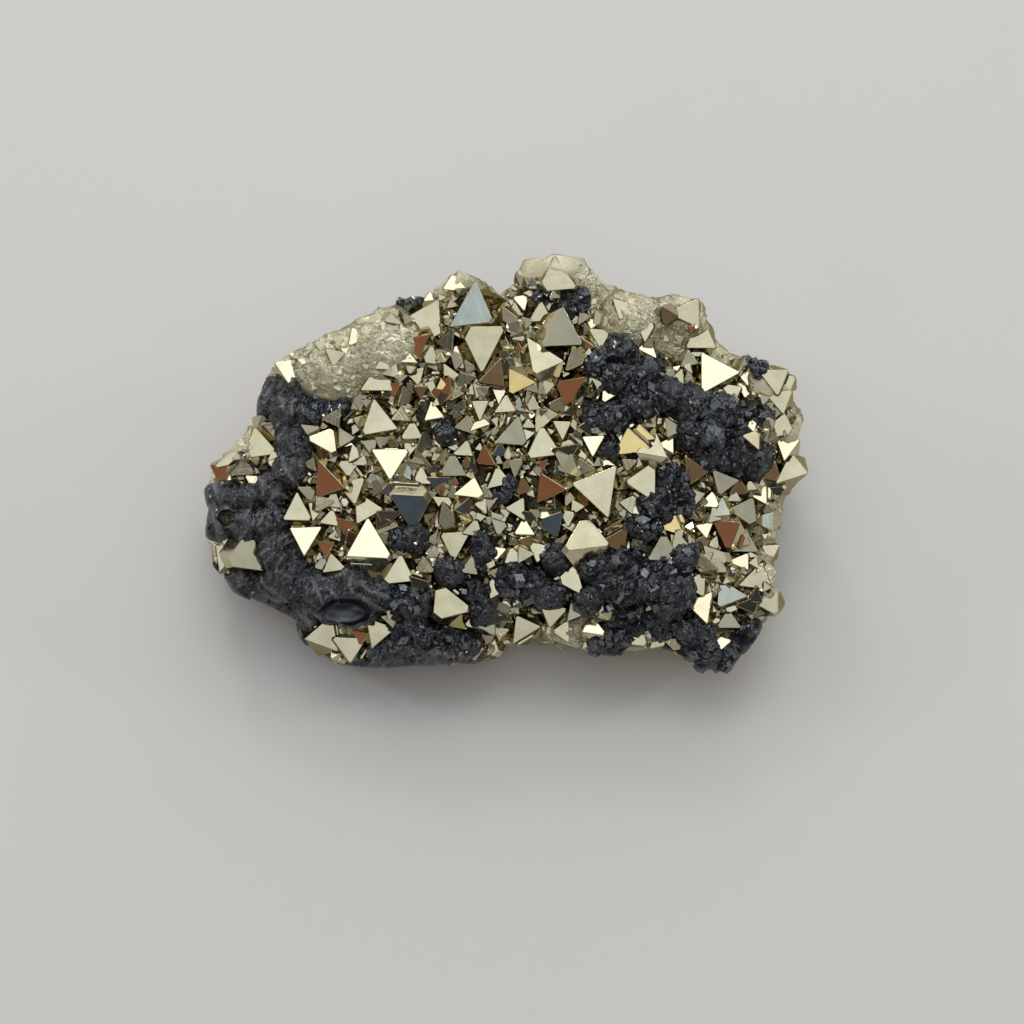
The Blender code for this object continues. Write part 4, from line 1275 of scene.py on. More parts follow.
def veins_at(flat: np.ndarray) -> np.ndarray:
    """Thin wandering veins, as a mask from 0 to 1: three contour lines of two waves that bend each other."""
    a, b = flat[:, 0], flat[:, 1]
    waves = np.sin(0.5 * a + 1.1 * np.sin(0.33 * b + 0.7))
    waves = waves + 0.7 * np.sin(0.45 * b - 0.9 * np.sin(0.4 * a + 2.0))
    lines = sum(np.exp(-(((waves - level) / 0.12) ** 2)) for level in (-0.9, 0.1, 0.85))
    gaps = np.clip(1.2 * np.sin(0.9 * a + 1.3 * b) + 0.8, 0, 1)
    return np.clip(lines, 0, 1) * gaps


def seam_at(flat: np.ndarray) -> np.ndarray:
    """The pale seam along the sphalerite's wrapped rim, as a mask from 0 to 1.

    It is a band round one reach, which wanders in and out by two waves and fades by a third.

    Args:
        flat: rows of u and v.
    """
    turn, along = wrap_turn(flat)
    wander = SEAM_REACH + 0.012 * np.sin(turn * 0.5) + 0.006 * np.sin(turn * 1.7)
    band = np.exp(-(((reach_of(flat) - wander) / SEAM_WIDTH) ** 2))
    return along * band * np.clip(0.7 + 0.8 * np.sin(turn * 0.23 + 1.0), 0, 1)


def hollowed(places: np.ndarray, front: np.ndarray) -> np.ndarray:
    """Points of the sphalerite with its hollows pressed into their front.

    Inside a hollow the front is drawn level, and lowered by the depth times what the square of the distance
    from its middle, as a share of its half widths, leaves of one. A narrow ridge runs round it.

    Args:
        places: rows of u, v and w in millimetres.
        front: whether each faces the front.
    """
    height = places[:, 2].copy()
    for u, v, half_u, half_v, depth, ridge in HOLLOWS:
        share = np.sqrt(((places[:, 0] - u) / half_u) ** 2 + ((places[:, 1] - v) / half_v) ** 2)
        inside = front & (share < 1)
        if inside.any():
            level = np.median(height[inside])
            height += front * np.clip(3 - 3 * share, 0, 1) * (level - height)
        raised = ridge * np.exp(-(((share - 1.2) / 0.22) ** 2))
        height += front * (raised - depth * np.maximum(1 - share**2, 0))
    return np.c_[places[:, :2], height]


def knot_middles(rows: np.ndarray) -> np.ndarray:
    """The middles of knots, which stand on the matrix or on the lobe that they lie on.

    Args:
        rows: rows of u, v and radius.
    """
    flat = rows[:, :2]
    rise = KNOT_RISE * rows[:, 2]
    heights = np.maximum(matrix_height(flat) + rise, ground_height(flat) - 0.1 * rows[:, 2])
    return np.c_[flat, heights]


@dataclass(frozen=True)
class SphaleriteMass:
    """One mass of sphalerite: its knots and small ones budding from them, fused and broken into facets.

    Its tint is above 0 on pale veins, and -1 in its smooth hollows.

    Attributes:
        knots: rows of middle u, v and radius.
        salt: makes one mass unlike another.
        wraps: whether it wraps the rim with a smooth wall.
        swelling: how much a knot's radius swells at least, and how much more at most, as shares.
        buds: how many small lumps bud from each knot.
        bud_sizes: their least and greatest radius, as shares of the knot's.
        breaks: the spacing and half height of each size of facet, in millimetres.
        massive: how much of the facets' height the massive knots have.
        smooth: how much of it the smooth lumps, the wall and the hollows have.
        vein_height: how far a vein stands out, in millimetres.
    """

    knots: tuple
    salt: int
    wraps: bool = False
    swelling: tuple[float, float] = (0.88, 0.22)
    buds: int = 5
    bud_sizes: tuple[float, float] = (0.22, 0.5)
    breaks: tuple = ((3.4, 0.55), (1.5, 0.32), (0.6, 0.12))
    massive: float = 0.75
    smooth: float = 0.1
    vein_height: float = 0.14

    def gathered(self) -> Surface:
        """Its lumps, each still a ball of its own: the knots, their buds, and those of its wall."""
        rows = np.array(self.knots)
        middles = knot_middles(rows)
        swollen = self.swelling[0] + self.swelling[1] * scrambled(np.round(rows * 10), 3)
        radii = rows[:, 2] * KNOT_SPREAD * swollen
        smooth = in_patches(rows[:, :2], SMOOTH_PATCHES)
        chance = np.random.default_rng(self.salt)
        made = Surface(tint=np.zeros(0))
        for habit, chosen in ((BLENDE_HABIT, ~smooth), (SMOOTH_HABIT, smooth)):
            if chosen.any():
                made = made.joined(lumps(middles[chosen], radii[chosen], habit, 4, self.salt + habit.planes))
        rough = ~in_patches(rows[:, :2], SMOOTH_PATCHES + MASSIVE_PATCHES)
        parents = np.repeat(np.flatnonzero(rough), self.buds)
        if len(parents):
            away = unit(chance.normal(size=(len(parents), 3)) + (0, 0, 0.4))
            share = chance.uniform(*self.bud_sizes, len(parents))
            out = (radii[parents] * (1.0 - share * 0.6))[:, None]
            budded = middles[parents] + away * out * (1, 1, KNOT_FLATTENING)
            made = made.joined(lumps(budded, radii[parents] * share, BLENDE_HABIT, 3, self.salt + 77))
        if self.wraps:
            low = np.array(HOLLOW_LUMPS)
            wall = wrap_lumps()
            radii = np.append(WRAP_RADIUS * chance.uniform(0.85, 1.15, len(wall)), low[:, 2] * KNOT_SPREAD)
            wrap = np.concatenate((wall, knot_middles(low)))
            made = made.joined(lumps(wrap, radii, SMOOTH_HABIT, 3, self.salt + 55))
        return made

    def build(self) -> Surface:
        """The mass: its lumps fused, broken into facets, veined, hollowed and held inside the outline."""
        skin, outward = fused(self.gathered(), WRAP_VOXEL if self.wraps else KNOT_VOXEL, 5)
        points = skin.points / MM
        flat = to_face(points)[:, :2]
        front = outward @ FACE_AXES[2] > 0.2
        massive = in_patches(flat, MASSIVE_PATCHES)
        hollow = in_patches(flat, tuple(row[:4] for row in HOLLOWS))
        rough = np.where(massive, self.massive, 1.0)
        rough[in_patches(flat, SMOOTH_PATCHES) | (reach_of(flat) > 0.96) | hollow] = self.smooth
        for spacing, depth in self.breaks:
            height = facets(points, spacing, self.salt + int(spacing * 10))
            points = points + outward * (rough * depth * height)[:, None]
        hollow &= front
        veins = np.maximum(veins_at(flat) * massive, seam_at(flat)) * ~hollow
        points = points + outward * (self.vein_height * veins)[:, None]
        placed = held_in(hollowed(to_face(points), front))
        return Surface(to_world(placed), skin.triangles, tint=veins - hollow)


@dataclass(frozen=True)
class BlendeCrystals:
    """Small twelve-faced crystals crowded over the sphalerite's knots, but not over its smooth lumps.

    Attributes:
        per_knot: how many are tried on each knot.
        largest: their greatest edge, as a share of the knot's radius.
        edge: their least edge, and how much more the greatest is, in millimetres.
        sunk: how deep their middles lie under the knot's skin, as a share of their edge.
    """

    per_knot: int
    largest: float
    edge: tuple[float, float] = (0.8, 2.0)
    sunk: float = 0.35

    def build(self, chance: np.random.Generator, knots: tuple) -> Octahedra:
        """The crystals, less those that would stand out past the rim.

        Args:
            chance: the source of random numbers.
            knots: rows of middle u, v and radius.
        """
        rows = np.array(knots)
        rows = rows[~in_patches(rows[:, :2], SMOOTH_PATCHES + MASSIVE_PATCHES)]
        rows = np.repeat(rows, self.per_knot, axis=0)
        away = unit(chance.normal(size=(len(rows), 3)) + (0, 0, 0.6))
        edges = self.edge[0] + self.edge[1] * chance.beta(1.2, 2.4, len(rows))
        edges = np.minimum(edges, rows[:, 2] * self.largest)
        middles = knot_middles(rows)
        middles += away * (rows[:, 2] * KNOT_SPREAD - edges * self.sunk)[:, None] * (1, 1, KNOT_FLATTENING)
        middles = held_in(middles)
        turns = random_turns(chance, len(rows))
        turns = turns * np.exp(chance.normal(0, BLENDE_STRETCH, (len(rows), 1, 3)))
        crystals = Octahedra(middles, edges, turns, chance.random(len(rows)))
        return crystals.chosen(reach_of(middles[:, :2]) < 1.0)


# ---- Finishes ----


class Nodes:
    """A node tree under construction."""

    def __init__(self, tree: bpy.types.NodeTree) -> None:
        self.tree = tree

    def feed(self, target: bpy.types.NodeSocket, value: object) -> None:
        """Feeds an input from another socket, or gives it a value."""
        if isinstance(value, bpy.types.NodeSocket):
            self.tree.links.new(value, target)
        else:
            target.default_value = value

    def add(self, kind: str, values: dict | None = None, **settings: object) -> bpy.types.Node:
        """Adds a node.

        Args:
            kind: the node's type.
            values: for each input by name or place, a value or the socket that feeds it.
            settings: the node's own settings.

        Returns:
            The node.
        """
        node = self.tree.nodes.new(kind)
        for name, value in settings.items():
            setattr(node, name, value)
        for name, value in (values or {}).items():
            self.feed(node.inputs[name], value)
        return node

    def effect(self, group: bpy.types.NodeTree, **values: object) -> bpy.types.Node:
        """Adds a shared effect, with its inputs."""
        return self.add("ShaderNodeGroup", values, node_tree=group)

    def maths(self, operation: str, *values: object) -> bpy.types.NodeSocket:
        """A number worked out from others."""
        return self.add("ShaderNodeMath", dict(enumerate(values)), operation=operation).outputs[0]

    def vector(self, operation: str, *values: object) -> bpy.types.NodeSocket:
        """A vector worked out from others or, for a scaling, from one and a number; or their dot product."""
        inputs = dict(enumerate(values))
        if operation == "SCALE":
            inputs["Scale"] = inputs.pop(1)
        node = self.add("ShaderNodeVectorMath", inputs, operation=operation)
        return node.outputs["Value" if operation == "DOT_PRODUCT" else "Vector"]

    def ramp(
        self, value: object, start: float, end: float, low: object = 0.0, high: object = 1.0
    ) -> bpy.types.NodeSocket:
        """A number that runs evenly from low to high as a value runs from start to end, and no further."""
        values = {"Value": value, "From Min": start, "From Max": end, "To Min": low, "To Max": high}
        return self.add("ShaderNodeMapRange", values).outputs[0]

    def blend(self, share: object, first: object, second: object) -> bpy.types.NodeSocket:
        """A colour between two others."""
        return self.add("ShaderNodeMix", {0: share, 6: first, 7: second}, data_type="RGBA").outputs[2]

    def bump(
        self, height: object, depth: float, strength: object = 1.0, under: object = None
    ) -> bpy.types.NodeSocket:
        """A bumped normal, over another where there is one."""
        values = {"Height": height, "Distance": depth, "Strength": strength}
        if under is not None:
            values["Normal"] = under
        return self.add("ShaderNodeBump", values).outputs[0]


def new_material(name: str) -> tuple[bpy.types.Material, Nodes, bpy.types.NodeInputs]:
    """A new material, its nodes, and its shader's inputs."""
    material = bpy.data.materials.new(name)
    material.use_nodes = True
    return material, Nodes(material.node_tree), material.node_tree.nodes["Principled BSDF"].inputs


def new_group(name: str, inputs: dict[str, tuple[str, object]], outputs: dict[str, str]) -> tuple:
    """A new node group.

    Args:
        name: the group's name.
        inputs: for each input, its socket type and its value.
        outputs: for each output, its socket type.

    Returns:
        The group, its nodes, the sockets that bring its inputs, and the node that takes its outputs.
    """
    group = bpy.data.node_groups.new(name, "ShaderNodeTree")
    for label, (kind, value) in inputs.items():
        socket = group.interface.new_socket(label, in_out="INPUT", socket_type=kind)
        if value is not None:
            socket.default_value = value
    for label, kind in outputs.items():
        group.interface.new_socket(label, in_out="OUTPUT", socket_type=kind)
    nodes = Nodes(group)
    return group, nodes, nodes.add("NodeGroupInput").outputs, nodes.add("NodeGroupOutput")


def mosaic_group() -> bpy.types.NodeTree:
    """A mosaic of facets: a random level for each cell, and a height that slopes its own way across it.

    The height is the offset from the cell's seed, in cells, times a random direction, so that the whole
    cell catches the light as one tilted flat.

    Returns:
        The group.
    """
    group, nodes, given, out = new_group(
        "Facet mosaic",
        {"Vector": ("NodeSocketVector", None), "Scale": ("NodeSocketFloat", 1000.0)},
        {"Level": "NodeSocketFloat", "Height": "NodeSocketFloat"},
    )
    cells = nodes.add("ShaderNodeTexVoronoi", {"Vector": given["Vector"], "Scale": given["Scale"]})
    offset = nodes.vector("SUBTRACT", given["Vector"], cells.outputs["Position"])
    scaled = nodes.vector("SCALE", offset, given["Scale"])
    slope = nodes.vector("SUBTRACT", cells.outputs["Color"], (0.5, 0.5, 0.5))
    apart = nodes.add("ShaderNodeSeparateColor", {0: cells.outputs["Color"]})
    nodes.feed(out.inputs["Level"], apart.outputs[0])
    nodes.feed(out.inputs["Height"], nodes.vector("DOT_PRODUCT", scaled, slope))
    return group


def growth_group() -> bpy.types.NodeTree:
    """Growth lines on a crystal face: fine steps parallel to its three edges.

    Along each of three directions, a third of a turn apart, a one-dimensional noise of the chart's
    coordinate gives uneven lines, and the highest of the three shows.

    Returns:
        The group.
    """
    group, nodes, given, out = new_group(
        "Growth lines",
        {"Chart": ("NodeSocketVector", None), "Density": ("NodeSocketFloat", 2.0)},
        {"Height": "NodeSocketFloat"},
    )
    best = None
    for degrees in (90, 210, 330):
        angle = math.radians(degrees)
        along = nodes.vector("DOT_PRODUCT", given["Chart"], (math.cos(angle), math.sin(angle), 0.0))
        place = nodes.maths("MULTIPLY", along, given["Density"])
        values = {"W": place, "Scale": 1.0, "Detail": 3.0, "Roughness": 0.7}
        lines = nodes.add("ShaderNodeTexNoise", values, noise_dimensions="1D").outputs[0]
        best = lines if best is None else nodes.maths("MAXIMUM", best, lines)
    nodes.feed(out.inputs["Height"], best)
    return group


def mottle_group() -> bpy.types.NodeTree:
    """Soft patches, as a mask from 0 to 1: noise with its middle values drawn apart.

    Returns:
        The group.
    """
    group, nodes, given, out = new_group(
        "Mottle",
        {"Vector": ("NodeSocketVector", None), "Scale": ("NodeSocketFloat", 100.0)},
        {"Mask": "NodeSocketFloat"},
    )
    values = {"Vector": given["Vector"], "Scale": given["Scale"], "Detail": 4.0}
    noise = nodes.add("ShaderNodeTexNoise", values).outputs[0]
    nodes.feed(out.inputs["Mask"], nodes.ramp(noise, 0.35, 0.65))
    return group


def foil_group() -> bpy.types.NodeTree:
    """The folds of crumpled foil, as a height: a noise whose middle value is creased into a ridge.

    Returns:
        The group.
    """
    group, nodes, given, out = new_group(
        "Foil",
        {"Vector": ("NodeSocketVector", None), "Scale": ("NodeSocketFloat", 1000.0)},
        {"Height": "NodeSocketFloat"},
    )
    values = {"Vector": given["Vector"], "Scale": given["Scale"], "Detail": 3.0, "Roughness": 0.55}
    noise = nodes.add("ShaderNodeTexNoise", values | {"Distortion": 0.5}).outputs[0]
    creased = nodes.maths("ABSOLUTE", nodes.maths("SUBTRACT", noise, 0.5))
    height = nodes.maths("SUBTRACT", noise, nodes.maths("MULTIPLY", creased, 1.4))
    nodes.feed(out.inputs["Height"], height)
    return group


@dataclass
class Effects:
    """The shared shader effects, built once."""

    mosaic: bpy.types.NodeTree
    growth: bpy.types.NodeTree
    foil: bpy.types.NodeTree
    mottle: bpy.types.NodeTree


# The colour of painted shade on the matrix between crowded crystals, and the colour of painted shade that it
# deepens to down its walls, as its cosine to the crystal face's own direction falls through the two values of
# the turn.
PAINTED_GAP_SHADE = (0.085, 0.075, 0.05)
PAINTED_WALL_SHADE = (0.36, 0.31, 0.19)
PAINTED_WALL_SHADE_TURN = (0.7, 0.15)
# The tint of pyrite's mirroring at a grazing angle.
PYRITE_EDGE = (0.5, 0.44, 0.3)
# How many soft patches, and how many of the smaller clouds, there are to a metre, and how far a crystal's
# own clouds are shifted by its tint.
PATCH_SCALE = 160.0
CLOUD_SCALE = 420.0
CLOUD_SHIFT = (0.3, 0.7, 0.5)
# How much of the deeper colour the clouds, the tint and, on the matrix, the patches bring.
CLOUD_SHARE = 0.4
TINT_SHARE = 0.55
PATCH_SHARE = 0.8
# How many growth lines there are to a unit of the chart.
GROWTH_DENSITY = 1.3
# How much rougher the matrix is where it is bare, how much of it then mirrors as a metal and how strong its
# folds are left, and the size and depth in metres of the folds where it is granular.
BARE_ROUGHNESS = 0.14
BARE_METAL = 0.2
BARE_FOLDS = 0.25
FOIL_SIZE = 0.0012
FOIL_DEPTH = 0.0007


# The finer facets' size, as a share of the larger ones', on pyrite and on sphalerite.
FINER_GRAIN = 0.4
FINER_FACET = 0.35


def faceted(
    nodes: Nodes, mosaic: bpy.types.NodeTree, place: object, sizes: tuple, slope: float, strength: object,
    bump: object = None,
) -> tuple[bpy.types.NodeSocket, bpy.types.NodeSocket]:
    """Sizes of facet, one over the other.

    Args:
        nodes: the material's nodes.
        mosaic: the shared effect.
        place: the socket of the coordinates.
        sizes: each size in metres.
        slope: how steeply they tilt.
        strength: how much of it shows.
        bump: the normal that they lie over, if any.

    Returns:
        The bumped normal, and the level of the first size of facet.
    """
    level = None
    for size in sizes:
        facet = nodes.effect(mosaic, Vector=place, Scale=1 / size).outputs
        bump = nodes.bump(facet["Height"], size * slope, strength, bump)
        level = facet["Level"] if level is None else level
    return bump, level


@dataclass(frozen=True)
class PyriteFinish:
    """How pyrite looks.

    Attributes:
        name: the material's name.
        pale: its lighter colour.
        deep: its deeper, yellower colour.
        roughness: the least and greatest roughness.
        growth_depth: the depth of growth lines in metres, or 0 where there are none.
        grain: the size of its sparkling grains in metres, or 0 where it has none.
        grain_slope: how steeply the grains tilt.
        metal: how much of it mirrors as a metal; the rest scatters light as a frosted surface does.
        skin: whether it is the matrix. Its tint is 0 between crowded crystals, where it is painted dark as
            shade, one half where it is granular, and 1 where it is bare and its grains fade. Its colour
            deepens as painted shade where it turns away from the crystal face, down its walls.
    """

    name: str
    pale: tuple[float, float, float]
    deep: tuple[float, float, float]
    roughness: tuple[float, float]
    growth_depth: float = 0.0
    grain: float = 0.0
    grain_slope: float = 0.0
    metal: float = 1.0
    skin: bool = False

    def build(self, effects: Effects) -> bpy.types.Material:
        """The material: a metal whose colour and roughness drift in patches and from crystal to crystal.

        Args:
            effects: the shared shader effects.
        """
        material, nodes, shader = new_material(self.name)
        nodes.feed(shader["Metallic"], self.metal)
        nodes.feed(shader["Specular Tint"], (*PYRITE_EDGE, 1.0))
        place = nodes.add("ShaderNodeTexCoord").outputs["Object"]
        tint = nodes.add("ShaderNodeAttribute", attribute_name="tint").outputs["Fac"]
        patches = nodes.effect(effects.mottle, Vector=place, Scale=PATCH_SCALE).outputs[0]
        rough = nodes.ramp(patches, 0.0, 1.0, *self.roughness)
        if self.skin:
            share = nodes.maths("MULTIPLY", patches, PATCH_SHARE)
        else:
            own = nodes.vector("ADD", place, nodes.vector("SCALE", CLOUD_SHIFT, tint))
            clouds = nodes.effect(effects.mottle, Vector=own, Scale=CLOUD_SCALE).outputs[0]
            clouds = nodes.maths("MULTIPLY", clouds, CLOUD_SHARE)
            share = nodes.maths("ADD", clouds, nodes.maths("MULTIPLY", tint, TINT_SHARE))
        colour = nodes.blend(share, (*self.pale, 1.0), (*self.deep, 1.0))
        bump, strength = None, 1.0
        if self.skin:
            normal = nodes.add("ShaderNodeNewGeometry").outputs["Normal"]
            facing = nodes.vector("DOT_PRODUCT", normal, tuple(FACE_AXES[2]))
            # Painted shade: the colour deepens where the surface turns away from the crystal face, as down its
            # walls.
            colour = nodes.blend(nodes.ramp(facing, *PAINTED_WALL_SHADE_TURN), colour, (*PAINTED_WALL_SHADE, 1.0))
            # Painted shade: the matrix is darkened between crowded crystals, where its tint falls below one
            # half.
            colour = nodes.blend(nodes.ramp(tint, 0.0, 0.5, 1.0, 0.0), colour, (*PAINTED_GAP_SHADE, 1.0))
            rough = nodes.maths("ADD", rough, nodes.ramp(tint, 0.5, 1.0, 0.0, BARE_ROUGHNESS))
            nodes.feed(shader["Metallic"], nodes.ramp(tint, 0.5, 1.0, self.metal, BARE_METAL))
            strength = nodes.ramp(tint, 0.5, 1.0, 1.0, BARE_FOLDS)
            foil = nodes.effect(effects.foil, Vector=place, Scale=1 / FOIL_SIZE).outputs[0]
            bump = nodes.bump(foil, FOIL_DEPTH, strength)
        if self.growth_depth:
            chart = nodes.add("ShaderNodeUVMap", uv_map="Chart").outputs[0]
            lines = nodes.effect(effects.growth, Chart=chart, Density=GROWTH_DENSITY).outputs[0]
            bump = nodes.bump(lines, self.growth_depth)
        if self.grain:
            sizes = (self.grain, self.grain * FINER_GRAIN)
            bump, _ = faceted(nodes, effects.mosaic, place, sizes, self.grain_slope, strength, bump)
        nodes.feed(shader["Base Color"], colour)
        nodes.feed(shader["Roughness"], rough)
        if bump is not None:
            nodes.feed(shader["Normal"], bump)
        return material


# How strongly sphalerite bends light, the cool cast of what it mirrors, the colour of its veins, and the
# colour and roughness of its smooth hollows.
BLENDE_IOR = 2.37
BLENDE_GLEAM = (0.86, 0.91, 1.0)
VEIN_COLOUR = (0.17, 0.168, 0.165)
HOLLOW_COLOUR = (0.003, 0.005, 0.011)
HOLLOW_ROUGHNESS = 0.3


@dataclass(frozen=True)
class BlendeFinish:
    """How sphalerite looks: black, glassy on its fresh facets and duller between.

    Attributes:
        name: the material's name.
        dark: its darkest colour.
        light: its colour where it is dusted or bruised.
        roughness: the least and greatest roughness.
        grain: the size of its small facets in metres.
        grain_slope: how steeply they tilt.
        gloss: how strongly it mirrors, 0.5 being all that its refraction gives.
        veined: whether the tint marks veins, where it is up to 1, and smooth hollows, where it is -1.
    """

    name: str
    dark: tuple[float, float, float]
    light: tuple[float, float, float]
    roughness: tuple[float, float]
    grain: float
    grain_slope: float
    gloss: float
    veined: bool = False

    def build(self, effects: Effects) -> bpy.types.Material:
        """The material: a dark dielectric whose facets differ in roughness, over two sizes of facet.

        Args:
            effects: the shared shader effects.
        """
        material, nodes, shader = new_material(self.name)
        nodes.feed(shader["IOR"], BLENDE_IOR)
        nodes.feed(shader["Specular IOR Level"], self.gloss)
        nodes.feed(shader["Specular Tint"], (*BLENDE_GLEAM, 1.0))
        place = nodes.add("ShaderNodeTexCoord").outputs["Object"]
        patches = nodes.effect(effects.mottle, Vector=place, Scale=CLOUD_SCALE).outputs[0]
        colour = nodes.blend(patches, (*self.dark, 1.0), (*self.light, 1.0))
        worn = 1.0
        if self.veined:
            tint = nodes.add("ShaderNodeAttribute", attribute_name="tint").outputs["Fac"]
            worn = nodes.ramp(tint, -1.0, 0.0)
            colour = nodes.blend(tint, colour, (*VEIN_COLOUR, 1.0))
            colour = nodes.blend(worn, (*HOLLOW_COLOUR, 1.0), colour)
        sizes = (self.grain, self.grain * FINER_FACET)
        bump, level = faceted(nodes, effects.mosaic, place, sizes, self.grain_slope, worn)
        rough = nodes.ramp(level, 0.0, 1.0, *self.roughness)
        if self.veined:
            rough = nodes.ramp(worn, 0.0, 1.0, HOLLOW_ROUGHNESS, rough)
        nodes.feed(shader["Base Color"], colour)
        nodes.feed(shader["Roughness"], rough)
        nodes.feed(shader["Normal"], bump)
        return material


CRYSTAL_FINISH = PyriteFinish(
    "pyrite_crystal", (0.66, 0.62, 0.45), (0.47, 0.425, 0.285), (0.05, 0.14), growth_depth=0.00001
)
DRUSE_FINISH = PyriteFinish("pyrite_druse", (0.67, 0.635, 0.49), (0.5, 0.46, 0.33), (0.06, 0.2))
GRANULAR_FINISH = PyriteFinish(
    "pyrite_granular", (0.83, 0.8, 0.6), (0.68, 0.62, 0.41), (0.2, 0.36), grain=0.0006, grain_slope=0.3,
    metal=0.66, skin=True,
)
GRAIN_FINISH = PyriteFinish("pyrite_grain", (0.8, 0.77, 0.58), (0.66, 0.61, 0.42), (0.2, 0.34), metal=0.7)
BLENDE_FINISH = BlendeFinish(
    "sphalerite_black", (0.002, 0.002, 0.003), (0.012, 0.0125, 0.0155), (0.08, 0.4),
    grain=0.0007, grain_slope=0.6, gloss=0.3, veined=True,
)
GLASSY_FINISH = BlendeFinish(
    "sphalerite_glassy", (0.002, 0.002, 0.003), (0.01, 0.0105, 0.014), (0.05, 0.2),
    grain=0.0009, grain_slope=0.18, gloss=0.4,
)


# ---- The studio ----


@dataclass(frozen=True)
class Softbox:
    """A square light that faces the specimen.

    Attributes:
        name: the light's name.
        towards: the direction to it, as u, v and w along the crystal face's axes.
        half_angle: half its width as seen from the specimen, in degrees.
        radiance: the colour of its light.
        distance: how far away it is, in metres.
    """

    name: str
    towards: tuple[float, float, float]
    half_angle: float
    radiance: tuple[float, float, float]
    distance: float = 0.7

    def build(self) -> bpy.types.Object:
        """The light. Its power is its radiance times pi times its area."""
        side = 2 * self.distance * math.tan(math.radians(self.half_angle))
        light = bpy.data.lights.new(self.name, "AREA")
        light.shape = "SQUARE"
        light.size = side
        peak = max(self.radiance)
        light.color = tuple(c / peak for c in self.radiance)
        light.energy = peak * math.pi * side * side
        thing = bpy.data.objects.new(self.name, light)
        direction = unit(np.array(self.towards) @ FACE_AXES)
        thing.location = Vector(direction * self.distance + np.array((0, 0, 0.02)))
        thing.rotation_euler = Vector(direction).to_track_quat("Z", "Y").to_euler()
        bpy.context.scene.collection.objects.link(thing)
        return thing


SOFTBOXES = (
    Softbox("front_panel", (0.0, 0.0, 1.0), 16.0, (0.6, 0.64, 0.66), 0.75),
    Softbox("front_halo", (0.05, 0.02, 1.0), 26.0, (0.17, 0.17, 0.165), 0.8),
    Softbox("top_softbox", (0.02, 0.64, 0.77), 12.0, (1.65, 1.65, 1.68)),
    Softbox("back_panel", (0.1, 0.87, 0.48), 15.0, (0.97, 1.0, 0.98)),
    Softbox("upper_left_panel", (-0.452, 0.645, 0.616), 12.0, (0.72, 0.72, 0.7)),
    Softbox("upper_right_panel", (0.49, 0.58, 0.65), 12.0, (0.72, 0.72, 0.7)),
    Softbox("upper_fill", (0.0, 0.62, 0.78), 34.0, (0.2, 0.2, 0.195), 0.85),
    Softbox("blue_card", (-0.545, 0.341, 0.766), 8.0, (0.55, 0.73, 1.04)),
    Softbox("gold_card", (-0.396, -0.507, 0.766), 8.0, (1.2, 1.05, 0.66)),
    Softbox("brown_card", (0.311, -0.498, 0.809), 9.0, (0.17, 0.1, 0.05)),
    Softbox("navy_card", (0.065, -0.74, 0.669), 9.0, (0.03, 0.06, 0.13)),
    Softbox("right_panel", (0.56, -0.2, 0.8), 12.0, (0.5, 0.54, 0.57)),
    Softbox("left_card", (-0.69, -0.25, 0.68), 14.0, (0.25, 0.085, 0.035)),
    Softbox("rim_lamp_left", (-0.86, 0.36, 0.36), 3.5, (13.0, 12.8, 12.4)),
    Softbox("rim_lamp_right", (0.88, 0.3, 0.36), 3.5, (13.0, 12.8, 12.4)),
    Softbox("rim_lamp_back", (-0.25, 0.93, 0.28), 3.5, (16.0, 15.6, 15.0)),
)
# The room's two colours, and the cosines to the crystal face's direction between which one turns to the
# other.
ROOM_DARK = (0.05, 0.05, 0.052)
ROOM_PALE = (0.95, 0.94, 0.92)
ROOM_TURN = (0.42, 0.12)
# Where on the crystal face the camera aims, its distance from there and its lens, in millimetres.
CAMERA_AIM = (1.125, -7.2)
CAMERA_DISTANCE = 622.0
CAMERA_LENS = 150.0
# The floor's radius and its drop below the specimen, in metres, its corners and its colour.
FLOOR_RADIUS = 3.0
FLOOR_DROP = 0.00005
FLOOR_CORNERS = 96
FLOOR_COLOUR = (0.86, 0.85, 0.83, 1.0)


def build_camera() -> bpy.types.Object:
    """The camera, square to the crystal face."""
    camera = bpy.data.cameras.new("camera")
    camera.lens = CAMERA_LENS
    camera.sensor_width = 36.0
    camera.clip_end = 20.0
    camera.clip_start = 0.01
    thing = bpy.data.objects.new("camera", camera)
    thing.location = Vector(to_world(np.array([[*CAMERA_AIM, CAMERA_DISTANCE]]))[0])
    thing.rotation_euler = (FACE_LEAN, 0.0, 0.0)
    bpy.context.scene.collection.objects.link(thing)
    bpy.context.scene.camera = thing
    return thing


def build_floor() -> bpy.types.Object:
    """A plain pale floor under the specimen."""
    angles = np.linspace(0, 2 * math.pi, FLOOR_CORNERS, endpoint=False)
    rim = np.stack((np.cos(angles), np.sin(angles), angles * 0), axis=1) * FLOOR_RADIUS
    points = np.concatenate((rim, np.zeros((1, 3)))) - (0, 0, FLOOR_DROP)
    ring = np.arange(FLOOR_CORNERS)
    triangles = np.stack((np.full_like(ring, FLOOR_CORNERS), ring, (ring + 1) % FLOOR_CORNERS), axis=1)
    material, nodes, shader = new_material("floor")
    nodes.feed(shader["Base Color"], FLOOR_COLOUR)
    nodes.feed(shader["Roughness"], 0.9)
    floor = make_piece("floor", Surface(points, triangles), material)
    return floor


def build_room() -> None:
    """The room: dark where the crystals' faces look, and pale low down all round, which lights the floor.

    The direction is compared with the way that the crystal face looks, and the colour turns from dark to
    pale as their cosine falls through the two values of the turn.
    """
    world = bpy.data.worlds.new("room")
    world.use_nodes = True
    nodes = Nodes(world.node_tree)
    direction = nodes.add("ShaderNodeTexCoord").outputs["Generated"]
    facing = nodes.vector("DOT_PRODUCT", direction, tuple(FACE_AXES[2]))
    colour = nodes.blend(nodes.ramp(facing, *ROOM_TURN), (*ROOM_DARK, 1.0), (*ROOM_PALE, 1.0))
    nodes.feed(world.node_tree.nodes["Background"].inputs["Color"], colour)
    bpy.context.scene.world = world


